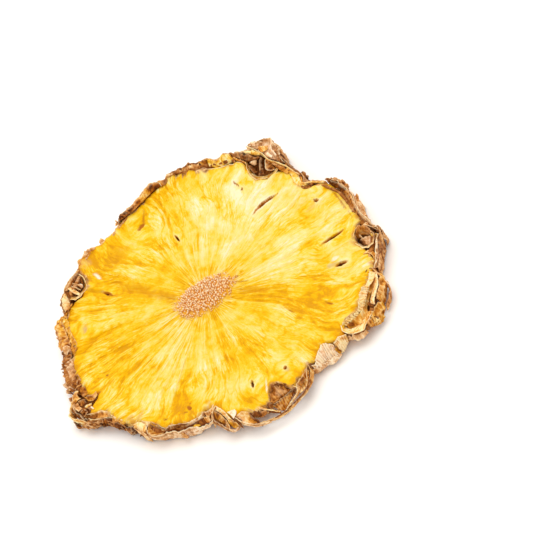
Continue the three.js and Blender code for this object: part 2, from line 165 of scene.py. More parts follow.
# a cream sheet that paints a highlight at the lobe's upper end
# the two narrow cream sheets below paint highlights on the bracts
SHEET_TABLE = """
# right: the outer skin, its dark inner face and the knot between
43.9 15.6 45 14.6 45.2 12.6 45.9 9.8 46.3 6.6 45.7 3.8 45.4 1.2 45.5 -2 46.2 -5.4 47 -9 | 6.7 7.2 7.3 7 7
    7.1 | .9 | .5 | .5 .55 .4 .4 .3 .35 .4 | .3 | 1 | rough .28
43.6 15.5 44.8 13.6 45.1 12.2 45.7 9.6 46 6.6 45.5 3.8 45.2 1.2 45.3 -2 46 -5.4 46.7 -8.4 | 6.6 7.1 7.2 6.9
    6.9 7 | 42.9 15.6 43.6 12.6 44.1 9.4 44.3 6.4 44.3 3.8 44.2 1.2 44.6 -1.8 45.2 -4.6 46.2 -7.6 | 5.2 4.7
    4.7 4.7 5.4 | .9 .95 .65 .5 .55 .6 .5 | 1.1 1 .9 .5 .3 | .8 | shade 0 .3 | pleat .1
43.6 1.4 44.4 2 45.4 1.9 | 6.1 6.6 | 43.7 .2 44.4 .4 45.2 .6 | 5.7 6 | .9 .6 .8 | .4 | .3
42.4 17.4 43.8 16.8 45 15.4 45.6 13.6 | 5.2 5.6 5 | 1.3 | .5 | .6 .4 .6 | .4 | .5 | rough .5
46.8 -7.4 47.5 -9 47.4 -11 46.6 -12.6 | 5.6 5.2 4.6 | .6 | .5 | .4 .6 .4 | .4 | .5 | rough .5
# the thin arc, the brown ribbon beyond it and the pale one that runs on
36.4 18.9 37.4 18.6 38.5 18.5 39.5 18.9 40.2 18.5 40.9 17.5 | 6.2 6.3 | .2 | 4.9 | .7 .95 .9 .7 .6 .5 | .9 |
    .1 | rough .1
42.4 16.4 41 17.8 39.8 19 38.4 19.8 37.2 20.4 37.7 21.8 38 23.2 37.7 24.8 37.1 26.8 36.5 28.8 36.2 30.6 36
    32.4 35.6 34.6 | 6.6 6.4 6.6 7 7.2 7.4 7.5 | .8 | .6 | .35 .4 .45 .5 .6 .6 .65 .75 .8 .75 .7 | .3 | .35
42.2 16.3 40.8 17.6 39.4 18.9 38 19.7 37 20.3 37.4 21.9 37.6 23.3 37.3 24.9 36.8 26.6 36.3 28.4 35.9 30.4 |
    6.4 6.3 6.5 6.9 7.2 | 41.8 16 40.5 17.3 39.2 18.4 37.8 19.2 36.6 20 36.8 21.8 37 23.3 36.8 24.7 36.3
    26.2 35.8 28 35.3 30 | 5.8 6 6.1 6 6 | .15 .2 .3 .3 .6 .8 .9 .85 .9 | 1.2 1.2 1 .7 | .1
38 19.3 36.9 20.3 37 22 37.1 23.6 36.9 25 36.3 26.8 35.6 28.6 | 6 6.3 6.6 | 37.4 18.5 35.9 19.4 35 21 34.8
    23 35.2 25 35 27 34.2 28.6 | 5.3 5.2 5.4 | .35 .2 .1 .1 .2 .5 .4 | 1.6 1.8 1.8 1.4 | .3 | bow -.2
37.3 24 36.8 25.6 36.2 27.4 35.6 29.4 34.7 31.4 33.7 33.4 32.7 35 32.2 36.6 31.9 38.6 31.1 40.8 30.1 42.8
    29.1 44.8 | 6.9 7.1 7.3 7.6 7.7 | .4 | 5.6 4.6 | .3 .15 .08 .05 | 1.3 | 1 | rough .1
35.7 27 35.1 28.8 34.3 30.6 33.5 32.4 33 34 | 6.3 6.6 | 34.5 26.6 33.9 28.4 33.3 30 33 31.8 32.8 33.4 | 5.9
    5.6 5.4 | .45 .65 .6 .5 .3 | 1.2 1.2 .6 .2 | .3 | rough .2
# the bracts that stand beyond the far eye
29.6 44.6 31.2 44.2 33 43.2 34.6 43 36.3 42.2 36 40.2 36.3 38.6 36.9 37.4 35.8 35.6 35.4 33.6 35.9 31 | 7.6
    8.1 8 7.8 7.4 7.2 | 30.4 42.8 31 41.4 31.6 40 31.9 38.9 32.1 37.8 32.3 36.8 32.6 35.8 33.2 34.8 33.9
    33.7 34.7 32.5 35.6 31 | 6.2 5.9 5.8 5.8 | .05 .15 .3 .25 .3 .2 .25 .4 .65 .8 | .1 | .9 | rough .85 |
    pleat .12
29.6 44.7 31.4 44.2 34.4 43 36.1 42 36.1 39 36.5 37.4 35.6 35.6 35.5 33.6 | 7.4 7.8 7.7 7.4 7.2 | .6 | .7 |
    .4 .5 .6 | .2 | .2 | rough .4
31.5 41.4 32.8 41.2 34.2 40.4 | 7.3 8 | 31.8 39.1 32.8 38.8 34 38.9 | 6.8 7.4 | .6 .45 .4 | 1.05 | .1 |
    rough .3
36.3 42.2 36 40.6 35.2 39.6 34.8 38 35 36.4 35 35.2 | 8.2 8 7.6 | -.55 | 7.6 7.1 | .02 | .1 | .6 | rough .3
32.6 37.6 32.9 36.4 33.4 35.2 | 7.2 7 | .5 | 6.9 6.6 | .05 | .1 | .6 | rough .2
# the far eye: its golden lip, its mauve wall and the leaves inside
25.9 40.2 26.5 38.6 26 36.8 25.7 34.8 25.9 32.8 26.5 31.2 28 30.2 29.4 29.2 30.4 29 31.4 29.6 32.6 29.8 33.2
    30.6 | 5.7 5.5 5.2 5 5 5.4 | 27.2 39.2 27 38 26.9 36.4 26.8 34.8 27 33.4 27.4 32.2 28.4 31.4 29.4 30.6
    30.2 30.4 31.2 30.6 32 30.8 32.6 31.4 | 4.4 3.4 3.1 3 3 3.6 | .5 .4 .35 .3 .3 .3 .25 .15 .1 | 1.5 | 1 |
    shade 0 .7
24.2 45.8 25.2 44.9 26.6 43.4 27.8 41.8 28.8 40.2 29.8 38.6 30.8 38.2 | 7 7.2 7 6.5 | 24.6 43.8 25.2 42.4 26
    41 26.8 39.8 27.6 39 28.6 38.4 29.8 37.8 | 5.8 5.4 4.8 4.6 | .6 .7 .8 .75 .8 .7 | .3 | .3 | shade 0 .3 |
    rough .35 | pleat .12
25.4 45.2 26.8 44.2 28.2 43.4 29.6 43 | 7.4 7.7 | .9 | .6 | .15 .2 .35 | .1 | .8
27.6 43.2 29 42.6 30.1 41.6 30.9 40.3 31.6 38.8 | 7.2 7.5 7.3 | 27.8 42 28.8 40.9 29.5 40 30.2 39.2 31 38.5
    | 6.7 6.4 | .12 | 1.5 | .3 | rough .15
24.4 44 25.2 42.2 26.1 40.6 26.8 39 | 6.2 5.6 | 24 43 24.8 41.4 25.7 40 26.4 38.6 | 5.8 5.3 | .45 .5 .35 |
    1.1 | .5 | rough .15
27.4 38.4 28.4 38.2 29.6 37.8 | 5.2 5.5 | 27.9 36.9 28.4 36.2 29 36.3 | 4.6 4.5 | .4 .3 .4 | .25 | .4 |
    rough .2
31 38 29.9 36.8 29.1 34.8 28.4 33 27.7 31.9 | 5.8 4.6 3.8 | 31.2 37 30.6 36 30 34.4 29.6 32.6 29.2 31.4 | 5
    3.9 3.4 | .85 | .3 | .4 | rough .2
31.7 36.2 30.9 34.6 30.3 33 30.5 31.9 31.4 31.1 32.3 30.6 | 6.2 5 4.5 4.6 | 32.4 35.8 32.6 34.4 32.6 33.2
    32.6 32.2 32.7 31.6 32.8 31 | 5.6 4.6 4.5 | .4 .45 .5 .5 .6 .7 | .7 | 1 | rough .2 | pleat .1
26.7 37.6 26.8 35.8 27.1 34 | 4.9 4.4 | 27.8 37.2 27.9 35.4 28 33.6 | 4 3.6 | .5 .75 .6 | .2 | .3 | shade 0
    .6 | rough .25
23.3 42.5 24 43.5 24.4 42.9 | 6.1 | 23.6 41.8 24 41.2 24.3 41.8 | 5.8 | 1 | .8 | 0 | shade .8 1 | rough .05
# the zigzag of golden folds beyond it
15.4 49.6 16.6 49.2 17.9 48.9 18.8 47.9 19.8 46.6 20.8 46.4 22 47 23.2 46.5 24.4 45.6 | 7 7.2 6.8 7.3 | .8 |
    .6 | .6 .5 .35 .4 .4 .5 .45 | .25 | .6
17.7 48.6 18.6 47.6 19.6 46.4 20.6 46.2 21.8 46.6 23 46.2 24.2 45.2 | 6.9 6.5 6.9 | 17.2 45.4 18.2 44.4 19.4
    43.6 20.6 43 21.8 42.6 23 42.2 24.2 42 | 5.5 5.4 | .3 .35 .2 .35 .2 .4 | 1.9 | .2 | ribs 5 .6
15.2 49.2 16.2 49.2 17.6 48.8 | 6.8 6.6 6.8 | 16 45.8 16.6 45.6 17.2 45.8 | 5.1 | .55 .65 .8 | 1.2 | .3 |
    shade 0 .6
16.2 45.3 17.6 44.3 19.2 43.2 20.8 42.6 22.4 42 23.6 41.2 24.6 40.9 25.6 40.1 | 5.8 5.7 | .35 | 4.8 | .12 |
    1.4 | 1 | rough .12
# the far side: a dark thin edge, then the raised skin with its mottled inner face
5.2 52 6.4 52 8 51.5 10 51.2 11.6 51 12.7 51.4 13.2 50.3 14.6 49.8 15.6 49.4 | 7 7.2 7.3 7 | .8 | .5 | .25
    .6 .8 .85 .8 .85 .85 | .25 | .1 | rough .3
5.4 51.7 7.6 51.2 9.8 50.8 11.8 50.7 13.2 49.8 15.2 49 | 6.9 7 6.8 | 5.4 50.9 7.6 50.4 9.6 49.6 11.6 48.8
    13.4 47.8 14.8 46.8 | 6.2 5.6 | .15 .5 .55 .5 .45 .4 | .45 | .1 | rough .3 | pleat .15
-13.4 45.7 -12.2 47.9 -10 48.4 -8 48.9 -6 50 -4 50.3 -2 51.5 -.2 52.3 1.4 52 2.6 51.4 | 5.7 6.8 7.2 7.5 7.2
    | .9 | .5 | .7 .6 .3 .25 .35 .35 .3 .2 | .4 | .7 | rough .22
-13.1 45.8 -12 47.6 -9.8 48.1 -7.8 48.6 -5.8 49.7 -3.8 50 -1.9 51.2 -.2 52 1.3 51.7 2.5 51 | 5.7 6.7 7.1 7.4
    7.1 | -12.8 46 -11.6 46.1 -9.4 46.4 -7 46.9 -5 47.6 -3 48.2 -1.2 48.8 .6 49.2 2.2 49.3 | 5.5 5.8 6.1 |
    .95 .85 .8 .6 .35 .35 .45 .8 .85 | .3 .3 .4 .6 1.3 1.5 1.2 1 | .5 | bow -.2 | rough .3 | pleat .15
2.4 51.6 3.4 51.2 4.4 50.8 5.3 51.6 | 7.1 6.9 | 2.8 49.2 3.6 48.9 4.4 48.9 5 49.6 | 6 5.9 | .15 .6 .85 .3 |
    .9 | .3 | shade 0 .3
1.4 52 2.4 51 2.8 50 2.8 49.2 | 7.3 6.3 | .3 | 6.6 5.8 | .1 | .9 | .8 | rough .1
# far left: a pinkish tip and the thin skin, then the six-sided eye
-26.8 42 -24.4 43.3 -22.2 42.6 | 5.4 5.9 5.6 | -26.2 41.2 -24.4 41.9 -22.6 41.8 | 4.9 | .2 .45 .4 | .2 | .3
    | rough .15
-12.8 45.7 -15.2 43.9 -18 43 -21 42.2 -24 42.8 -26.8 42 -28.6 40.2 -30 38.4 | 5 4.8 5 | .7 | .6 | .3 .25 .35
    .4 | 1.1 | .4
-29.6 38.3 -31.4 37.6 -33.2 36.9 -34.8 35.6 -36.1 34.2 | 5.5 5.8 5.6 | .6 | .6 | .3 .35 .3 .35 | .5 | .8
-36 34 -37.7 32.2 -38.5 30.4 -38.8 28.4 -39.1 26.2 -39.4 24.8 | 5.6 5 | .5 | .5 | .5 .75 .7 .8 | .3 | .25
-36.2 33.4 -37.6 31.8 -38.3 30.2 -38.5 28.4 -38.6 26.6 | 5.3 5 | -35.9 31.8 -36.1 30.6 -36.2 29.4 -36.4 28.2
    -37.2 26.8 | 4.2 4.7 | .35 .2 .1 .3 .6 | .8 | .5 | shade 0 .2 | bow .4 | rough .3 | pleat .1
-36.2 33.7 -35.9 32.2 -35.7 30.6 | 5.2 4.8 | -35.7 33.7 -35.3 32.2 -35.2 30.8 | 4.2 3.8 | .95 | .5 | 0 |
    shade .5 1 | rough .05
-30 37.4 -31.6 36.9 -33.2 36.2 -34.6 35 -35.8 33.8 | 5.4 5.2 | -30.8 35.6 -31.8 35.2 -32.8 34.7 -33.9 33.8
    -34.8 33 | 3.3 | .85 .7 .45 .3 .4 | .6 | .6 | shade 0 .6
-30.1 36.8 -29.5 34.8 -29.6 32.4 -30.1 30.3 -31.6 29.5 -33.2 28.7 -34.6 29 -35.7 30.2 | 5.4 5 4.8 4.9 |
    -30.6 36 -30.4 34.2 -30.6 32.4 -31.1 31.2 -32.2 30.4 -33.4 30 -34.4 30.4 -35 31.4 | 2.9 | .15 .1 .1 .1
    .2 | 1.5 | 1 | shade 0 1
-35.2 35 -34.6 33 -33.8 31 -33 29.4 | 4.9 3.8 | -34.2 34.8 -33.5 33 -32.9 31.2 -32.4 29.8 | 4.2 3.3 | .35 .2
    .1 .05 | .9 | .7 | rough .15 | bow .3
-33.6 34.4 -32.7 32.8 -31.9 31.2 | 4.7 3.9 | .4 | 3.4 2.8 | .3 | .9 | 1 | shade 0 .9
-32.9 34.9 -32 33.4 -31.3 31.6 | 4.8 4 | .4 | 3.4 2.8 | .4 | .9 | .9 | shade 0 .9
-32 33.6 -31 33 -30.6 32.2 | 4.3 | -31.6 32.2 -31.2 31.4 -30.9 31.4 | 3.5 | .05 | .1 | .8 | rough .1
-30.5 35.6 -30.3 34 -30.5 32.4 | 4.9 | -30.9 35.4 -30.9 33.8 -31 32.6 | 3.6 | 1 | .5 | 0 | shade .9 1 |
    rough .05
-38.2 27.2 -37 27.9 -35.6 28.6 | 4.8 | -38.2 26.4 -37 27 -35.8 27.8 | 4.6 | .7 .65 .4 | 1.3 | .2 | rough .25
-39.4 25 -39 26.4 -38 27.6 | 4.9 | -39 24.4 -38.4 25.6 -37.6 26.8 | 4.6 | .5 .6 .5 | 1.3 | .2 | rough .2
# left: the golden block, the brown one and the speckled shell
-39.3 24.9 -40.4 24.9 -40.9 22.4 -41.1 19.6 -41.3 17 -41.6 14.8 | 4.7 4.8 4.5 | -40.4 25.4 -42.6 24.2 -43.6
    21.8 -44 19 -44.8 16.4 -44.8 14.6 | 3.6 2.9 2.8 | .5 .42 .5 .42 .5 .55 | 1.3 1.4 1.3 1 | .4 | bow .6 |
    rough .45 | pleat .1
-39 26 -39.1 23 -39.6 20 -39.8 17 -39.7 14.4 -41 11.6 | 4.6 4.4 | -41.4 25.2 -41.4 22.6 -41.8 19.8 -42 17
    -42 14 -42.6 11 | 4.1 3.8 | .38 .4 .55 .4 .48 .65 | 1.7 1.6 1.4 1.1 | .3 | rough .35
-42 12.8 -42.6 11.2 -43.4 9.4 | 4.3 | -44.9 13 -45.8 11 -46 9.2 | 2.7 | 1 .85 .9 | .5 | .2 | bow .4 | ribs
    3 .25
-43 9.6 -43.6 7 -43.6 4 -43.4 1.4 -43.8 -.6 | 4.2 4.3 4.2 | -46 9.2 -47 6.8 -47.4 4.2 -47 1.6 -46.2 -.8 |
    2.8 2.5 2.8 | .5 .42 .45 .5 .6 .7 | 0 .1 .2 .3 .5 | .2 | bow .6 | rough .6 | thick .5
-46.8 3.6 -47 2 -46.6 .6 -46 -1 | 3.4 | -48.7 3.6 -48.5 2 -47.8 .4 -46.8 -1.2 | 2.6 | .5 | 0 | .5 | rough .4
-43.2 .4 -43.3 -1.8 -43.5 -4.2 | 4.3 | -44.8 .2 -45.3 -2 -45.2 -4.4 | 3.8 | .55 .75 .9 .6 | .9 | .2 | rough
    .25
# left: the crumpled cluster
-45.4 -1.6 -46.2 -3 -45.6 -4.6 | 4.6 | -47.8 -1.8 -48.6 -3.4 -48.4 -4.8 | 3.8 3.6 | .3 .55 .4 .35 | 1 | .5 |
    bow .3 | rough .45
-47.4 -1.8 -48.8 -4 -50.2 -6 -50.8 -7.8 -50.2 -9.2 -49 -10.6 -47.9 -12 -47.4 -13.4 | 4.4 4.9 4.5 | -.7 | .6
    | .45 .3 .2 .15 .2 .35 | .9 | .9 | rough .3
-48.1 -4.4 -48.8 -6 -49 -7.8 -48 -9.4 -47.8 -11 -46.9 -12.4 | 5.1 5 4.7 | -.5 | 3 2.4 | .5 .6 .9 .9 .85 | .6
    | .8 | shade 0 .7 | rough .4
-48.4 -5.2 -48.4 -6.8 -47.9 -8.2 | 5.1 | -47 -4.9 -47 -6.6 -46.6 -7.8 | 4.6 | .5 .4 .55 | .4 | .5 | rough
    .35
-46.8 -4.7 -45.4 -4.9 -44.6 -5.7 | 5 | -46.9 -6.8 -45.8 -6.9 -45 -6.6 | 4.3 | .6 .85 1 | .7 | .3 | bow -.2 |
    rough .25
-44.9 -4.4 -43.2 -5.1 -41.2 -4.9 | 4.6 4.8 | -44.3 -6.6 -43 -7.4 -41.3 -6.4 | 4.4 4.6 | .4 .6 .6 .3 | 1.3 |
    .4 | rough .3
-45.9 -7.6 -44.8 -7.3 -43.8 -7.8 | 5 | -45.6 -8.5 -44.8 -8.3 -44 -8.5 | 4.7 | .1 | 1.2 | .8
-45.6 -8.4 -45 -9.4 -45.2 -10 | 4.7 | -44.4 -8.4 -44.2 -9.2 -44.4 -9.9 | 4.4 | .7 | 1 | .3 | rough .2
-44.5 -8.7 -44.3 -9.5 -44.1 -10 | 5 | -44.1 -8.6 -43.9 -9.4 -43.8 -9.9 | 4.8 | 0 | .3 | 1 | rough .05
-47.6 -8.4 -46.4 -8.2 -45.8 -9.2 -46.4 -10.4 -47.4 -10.8 | 5 4.8 | -47.2 -9.6 -46.8 -9.4 -46.6 -9.8 | 4.4
    4.3 | .5 .8 .65 .75 | .7 | .6 | rough .35
-46.6 -10.3 -45 -10.9 -43.6 -11.5 -42 -12.2 -41 -13.5 -40.5 -15.6 | 5.1 5.3 5 | -46.2 -12.2 -45 -13.5 -43.4
    -14.2 -42.2 -14.9 -41.2 -15.4 -40.4 -16 | 3.9 4.8 | .5 .4 .3 .2 .1 | .8 | 1 | shade 0 .1 | bow -.3 |
    pleat .1
-46.2 -11.6 -45 -11.9 -43.7 -12.3 | 4.8 5 | -45.6 -12.6 -44.9 -13.3 -44.3 -12.7 | 4.5 | 1 | .8 | 0 | shade
    .8 1 | rough .05
-46.4 -12 -45 -13.6 -43.2 -14.5 -41.6 -15.4 -40.3 -16.3 | 4.6 4.9 | .3 | 3 | .2 | .9 | 1 | shade 0 1
# near left: the brown wall, its dark patches and the pale one, then the big double shell
-47.2 -13.4 -45.6 -14.4 -43.9 -15 -42.6 -16.4 -41.2 -17.8 -39.9 -19.4 -38.8 -20.9 | 4.2 4.6 | -1 | .4 | .7
    .55 .7 .6 .9 .95 | .5 | .3 | rough .35
-43.9 -14.6 -42.4 -15.3 -40.9 -16.2 | 4.7 4.8 | -43.8 -16.2 -42.6 -17.2 -41.2 -17.8 | 4.1 4.2 | .8 .9 .95 |
    .8 | .2 | rough .15 | ribs 4 .25
-40.6 -16.6 -39.4 -18.4 -38 -20.4 | 4.8 | -41.2 -17.6 -40.2 -19.2 -39 -20.8 | 4.1 4 | .5 .6 .5 | 1.2 | .1 |
    rough .2
-39.3 -20.6 -38.7 -21.9 -37.4 -22.4 -36.6 -24 -36 -25.9 -35.3 -27.1 -34.7 -28 | 4.6 4.8 4.6 | -.5 | .4 | .6
    .85 1 .9 .5 .35 .4 | .45 | .4 | rough .3
-40.2 -16 -38.7 -18.5 -37.2 -20.6 -35.6 -21.8 -34.2 -22.6 -33.2 -23.8 -32.2 -24.6 | 4.9 4.8 5 | .8 | 3.6 |
    .2 .25 .2 .1 | 1.1 | .7 | shade 0 .4 | pleat .08
-36.4 -22.4 -35 -22.6 -33.8 -24.2 -34 -26.4 | 4.8 5 | -36.7 -24.6 -36 -25.8 -35.3 -26.8 -34.6 -27.6 | 3.8
    3.6 | .3 .05 .05 .3 | 1.1 | .4 | bow .4 | rough .15
-32.6 -24.6 -33.6 -25.6 -34.2 -27.2 -34 -28.8 -33.2 -29.8 -31.6 -30.4 -29.6 -30.9 -27.8 -32 -26 -33.4 -24
    -34 -22.2 -34.8 -20.4 -36 -18.6 -36.5 -17.4 -35.8 | 5 4.8 4.7 4.6 4.4 4.3 4.5 | -34 -26.6 -34.8 -28
    -34.9 -28.8 -34.5 -29.6 -33.8 -30.6 -32.4 -32.2 -30.6 -33.8 -28.6 -34.6 -26.8 -36 -25.4 -36.9 -23.6
    -37.7 -22 -37.9 -20.4 -37.6 -18.8 -37 -17.8 -36.6 | 3 1.2 .5 .3 .3 .4 1.6 | .38 .36 .3 .4 .46 .4 .14 .08
    .03 .05 .1 | .12 | 1 | bow .35 | rough .3
-26.4 -33.8 -26 -34.2 -25.6 -34.2 | 4.4 | -26.2 -36.4 -25.8 -36.9 -25.2 -36.9 | .9 | .6 .45 .6 | .5 | 0 |
    bow .55 | rough .1
-32.4 -25 -33.4 -26.2 -33.9 -27.6 -33.4 -29.2 -32 -30 -30.6 -30.4 | 4.8 4.5 | -31.8 -26.2 -31.6 -27.2 -31.3
    -28.2 -31 -29 -30.7 -29.6 -30.2 -30 | 3.2 | .4 .35 .4 .5 | 1.1 | .6 | shade 0 .7 | bow -.4 | pleat .1
-32 -24.8 -31 -26.6 -30.2 -28.4 -29.5 -29.5 | 4.9 | -31.8 -26.4 -31.2 -28 -30.6 -29.6 -30 -30.2 | 3.8 3.6 |
    .2 .7 .9 .9 | .8 | .9 | shade 0 .7
-29.5 -29.5 -28.2 -29.5 -26.6 -30.2 -25 -31.2 -23.6 -32 -21.6 -32.1 -19.8 -32.2 -18.2 -31.5 | 4.9 5 4.8 4.9
    | -29 -30.6 -27.6 -31.4 -26.2 -32.2 -24.8 -32.9 -23 -33.3 -21 -33.5 -19.2 -33.4 -17.8 -32.8 | 4 3.9 | .5
    .55 .4 .25 .12 .15 .35 | .3 | .9 | shade 0 .1 | rough .3
-27.4 -30.2 -26.2 -30.7 -24.9 -31.5 -23.8 -32.2 | 5 | -27.2 -30.7 -26 -31.3 -24.7 -32 -23.7 -32.5 | 4.7 | 1
    | .8 | 0 | shade .8 1 | rough .05
-30.4 -30 -28.4 -30.9 -26.2 -32.2 -24 -33.2 -21.6 -33.6 -19.2 -33.4 | 4.5 4.2 | .2 | 2.6 | .9 | .7 | 0 |
    shade .9 1 | rough .1
-22.8 -34 -21.8 -34.1 -21 -34.6 | 4.2 | -22.6 -34.7 -21.8 -35.1 -21 -35.3 | 3.9 | .3 | 2 | 0 | rough .05
-21 -33.6 -20 -33.6 -19 -33.7 | 4.3 | -20.9 -35.5 -20 -35.9 -19.2 -35.7 | 3.4 | 1 | .6 | 0 | shade 1 1 |
    rough .1
-19.2 -33.5 -18.4 -33.7 -17.7 -34.1 | 4.5 | -19.2 -35.8 -18.6 -36.1 -17.9 -35.7 | 3.6 | .7 .5 .3 | .7 | .3 |
    rough .1 | ribs 3 .2
-17.8 -36.4 -17.1 -34.6 -16.2 -33.2 -15 -32 | 4.4 5.1 | .5 | 2.4 | .3 .2 .15 | .7 | 1 | rough .12
-18.4 -31.6 -17.2 -32.2 -16.2 -31.8 -15.2 -31.4 | 5.1 | -18.4 -33.6 -17.4 -34 -16.6 -33.4 -15.6 -32.6 | 4.4
    | .2 .5 .3 .1 | .5 | .7 | ribs 3 .2
# near: the folded pointed lobe
-16.6 -34.4 -17.2 -36 -16.6 -37.8 -15.8 -39.6 -15.1 -41.4 -14.2 -42.6 | 4.9 4.4 3.9 | -17.7 -36 -17.6 -37.4
    -16.9 -39 -16.1 -40.6 -15.4 -42.2 -14.4 -43.3 | 3.4 1.2 .8 | .55 .7 .6 .55 .4 | .3 | .7 | bow .2 | rough
    .2 | pleat .12
-15.9 -33.3 -15.1 -35 -14.6 -37 -14.3 -38.8 | 5 4.7 | -16.7 -34.8 -16.5 -36.4 -15.8 -38.2 -15 -39.8 | 4 3.8
    | .75 .55 .6 .8 | 1.4 | .4 | shade 0 .2 | pleat .12
-14.5 -38.4 -14.4 -40 -14.8 -41.6 -14.2 -42.8 | 4.8 4 | -15.2 -39.2 -15.4 -40.8 -15.2 -42.2 -14.4 -43.2 |
    3.6 1.6 | .4 .25 .3 .35 | .6 | 1 | rough .15
-13.9 -38.6 -13.2 -39.6 -12.5 -40.6 -12.2 -42.2 | 4.8 4.2 | -13.9 -41.6 -13.4 -42.6 -12.8 -42.9 -12.3 -42.9
    | 3.2 2.4 | .35 .4 .5 | 1.7 | .5 | bow .3 | pleat .1
-14.6 -42.4 -13.6 -42.8 -12.5 -42.6 -11.8 -42.4 | 3.4 3 | -14.6 -43.2 -13.6 -43.8 -12.4 -43.6 -11.8 -43.1 |
    1 1.4 | .35 .2 .25 | 0 | .2 | bow .3 | rough .15
-12.3 -39.4 -12 -41 -11.6 -42.6 | 4.8 3.6 | .3 | 3 2.2 | .9 | .5 | .1 | shade .4 1
-15 -32 -14 -34 -13.5 -36 -13.2 -38 -12.8 -40 | 5.1 4.8 | -15.8 -33 -15 -34.8 -14.4 -36.8 -14 -38.6 -13.6
    -40 | 4.6 4.2 | .3 .1 .15 .2 .4 | .9 | 1 | rough .2 | pleat .12
-13.1 -36.1 -12.6 -37.8 -12.5 -39.1 | 5.4 5.2 | -11 -36.6 -10.9 -37.6 -11.6 -38.6 | 5.1 | 0 | .1 | 1 | rough
    .12
# near: the biggest eye, its thin outer loop and the cells inside
-12.2 -38.8 -11.4 -41 -10 -43.2 -8.4 -45 -6.4 -46 -4.6 -46.9 | 4.9 4.2 3.2 | -12 -41 -11.4 -42.8 -10.2 -44.2
    -8.6 -45.9 -6.4 -47 -4.4 -47.5 | 2.6 2.3 2.1 | .4 .2 .2 .5 .3 | .35 | .9 | rough .15 | thick .4
-7.2 -45.4 -5.4 -46 -3.6 -46.5 -1.8 -46.7 .4 -46.7 2.6 -46.3 5 -45.3 7.4 -44.5 9.2 -43 10.6 -40.8 11.5 -38.4
    11.5 -36.8 | 3.4 3.2 3.3 3.8 4.4 4.9 | -6.8 -46.2 -5.2 -46.9 -3.6 -47.4 -1.8 -47.7 .4 -47.7 2.8 -47.1
    5.4 -46.1 8 -45 9.9 -43.6 11.2 -41.8 12 -40 12 -38.2 | 2.3 2 1.9 2.1 2.4 3.4 | .15 .3 .4 .4 .2 .5 .45
    .35 | .85 | .35 | rough .15 | thick .4 | shade .25 0
-3 -46.5 -1 -46.5 1 -46.4 3 -45.8 5 -45.1 7 -44.4 8.8 -43.2 10.2 -41.2 | 3.5 3.5 4.1 4.5 | -3 -46.95 -1
    -47.05 1 -47.05 3 -46.4 5 -45.7 7 -45 9 -43.7 10.4 -41.7 | 3 2.9 3.2 3.8 | .9 | .7 | 0 | shade .6 .9 |
    rough .05
-11.6 -39 -10.2 -38.6 -8.9 -39.2 -8 -40.4 | 4.8 4.9 | -10.7 -42.4 -9.5 -43.8 -8.4 -44.7 -7.6 -45 | 3.2 2.6 |
    .2 .2 .3 .7 | .4 .9 1.2 .9 | .5 | bow -.4 | rough .1
-8.2 -40.6 -7.9 -42.2 -7.4 -44 -7 -45.2 | 4.7 3.2 | .5 | 1.6 | 1 | .9 | .1 | shade .5 .8
-7.9 -40.7 -6.8 -41 -5.8 -41.6 | 4.9 | -7.6 -42.6 -6.6 -43.2 -5.4 -43.2 | 4 | 1 | .1 | .1 | shade .8 1 |
    rough .35
-6.2 -41.8 -5.2 -42.2 -4 -42.8 | 4.2 | -6.8 -43.4 -5.6 -44.3 -4.2 -43.9 | 3 | .75 .6 .5 | .7 | .3 | bow .3 |
    pleat .1
-5.4 -40.9 -4.2 -42.3 -2.7 -44 -1.2 -45.8 | 4.7 3.4 | -4.6 -40.9 -3.6 -42.4 -2.3 -44 -.9 -45.6 | 4.4 3.2 |
    .1 .05 .12 .25 | 1 | 1 | rough .1
-3.6 -42.6 -2.4 -44.2 -1 -45.8 | 4 3.3 | .3 | 2.6 | .85 | .9 | 0 | shade .5 .8 | rough .05
-3.1 -40.9 -2.4 -40.7 -1.8 -41.6 | 4.8 | -3.1 -43 -2.4 -43.4 -1.8 -43.2 | 3.6 | 1 .7 1 | .3 | .4 | shade .6
    1 | rough .3
-1.7 -41.8 -1.1 -39.2 -.4 -37.2 .5 -36.2 1.6 -36.5 2.8 -37.6 3.9 -39.3 5.2 -41 | 4.4 4.6 4.3 | -1.6 -42.4
    -.9 -42.3 0 -42.1 .8 -42 1.6 -41.9 2.6 -41.8 3.8 -41.6 5 -41.4 | 3.1 3 3.2 | .62 .6 .6 .7 .7 .7 .8 .9 |
    .9 .65 .9 | .1 | shade .1 0 | bow -.3 | rough .85 | pleat .04
-.5 -37.9 .2 -36.9 1.1 -36.5 2 -36.9 3 -38 3.8 -39.2 | 4.7 4.8 4.6 | .35 | 4.4 4.5 4.3 | .7 .9 1 1 .8 | .7 |
    0 | shade .5 .9 | rough .1
-1.6 -42.2 -.6 -42.4 .8 -42.1 2.4 -42 3.8 -41.8 5 -41.4 | 3.5 | -1.6 -42.7 -.6 -42.9 .8 -42.6 2.4 -42.5 3.8
    -42.3 5 -41.9 | 3.1 | .9 .7 .9 1 | 1.2 | .5 | shade .2 .9 | rough .2 | ribs 11 .4
-2 -42.7 -.6 -42.8 .8 -42.5 2.4 -42.4 3.8 -42.2 5.2 -41.8 | 3.3 3.5 | -1.4 -44.6 -.8 -45.6 .1 -46.4 1.2
    -45.7 2.8 -44.4 4.8 -42.8 | 2.5 2.1 3 | .55 .6 .6 .7 .9 | 1.1 | .2 | shade .35 .1 | ribs 9 .3
.4 -46.5 2.2 -45.1 4 -44 5.5 -42.9 5.8 -41.4 5.2 -40.3 | 3.4 4.2 4.8 | .8 -46.9 2.6 -45.7 4.4 -44.7 6 -43.6
    6.5 -42 6 -41 | 3 3.5 4.3 | .3 .15 .1 .1 .1 | .8 | 1 | rough .1
.8 -46 2.6 -44.8 4.2 -43.7 5.4 -42.8 | 3.4 4 | .3 | 2.8 3.2 | .6 | .8 | .2 | shade 0 .5 | rough .05
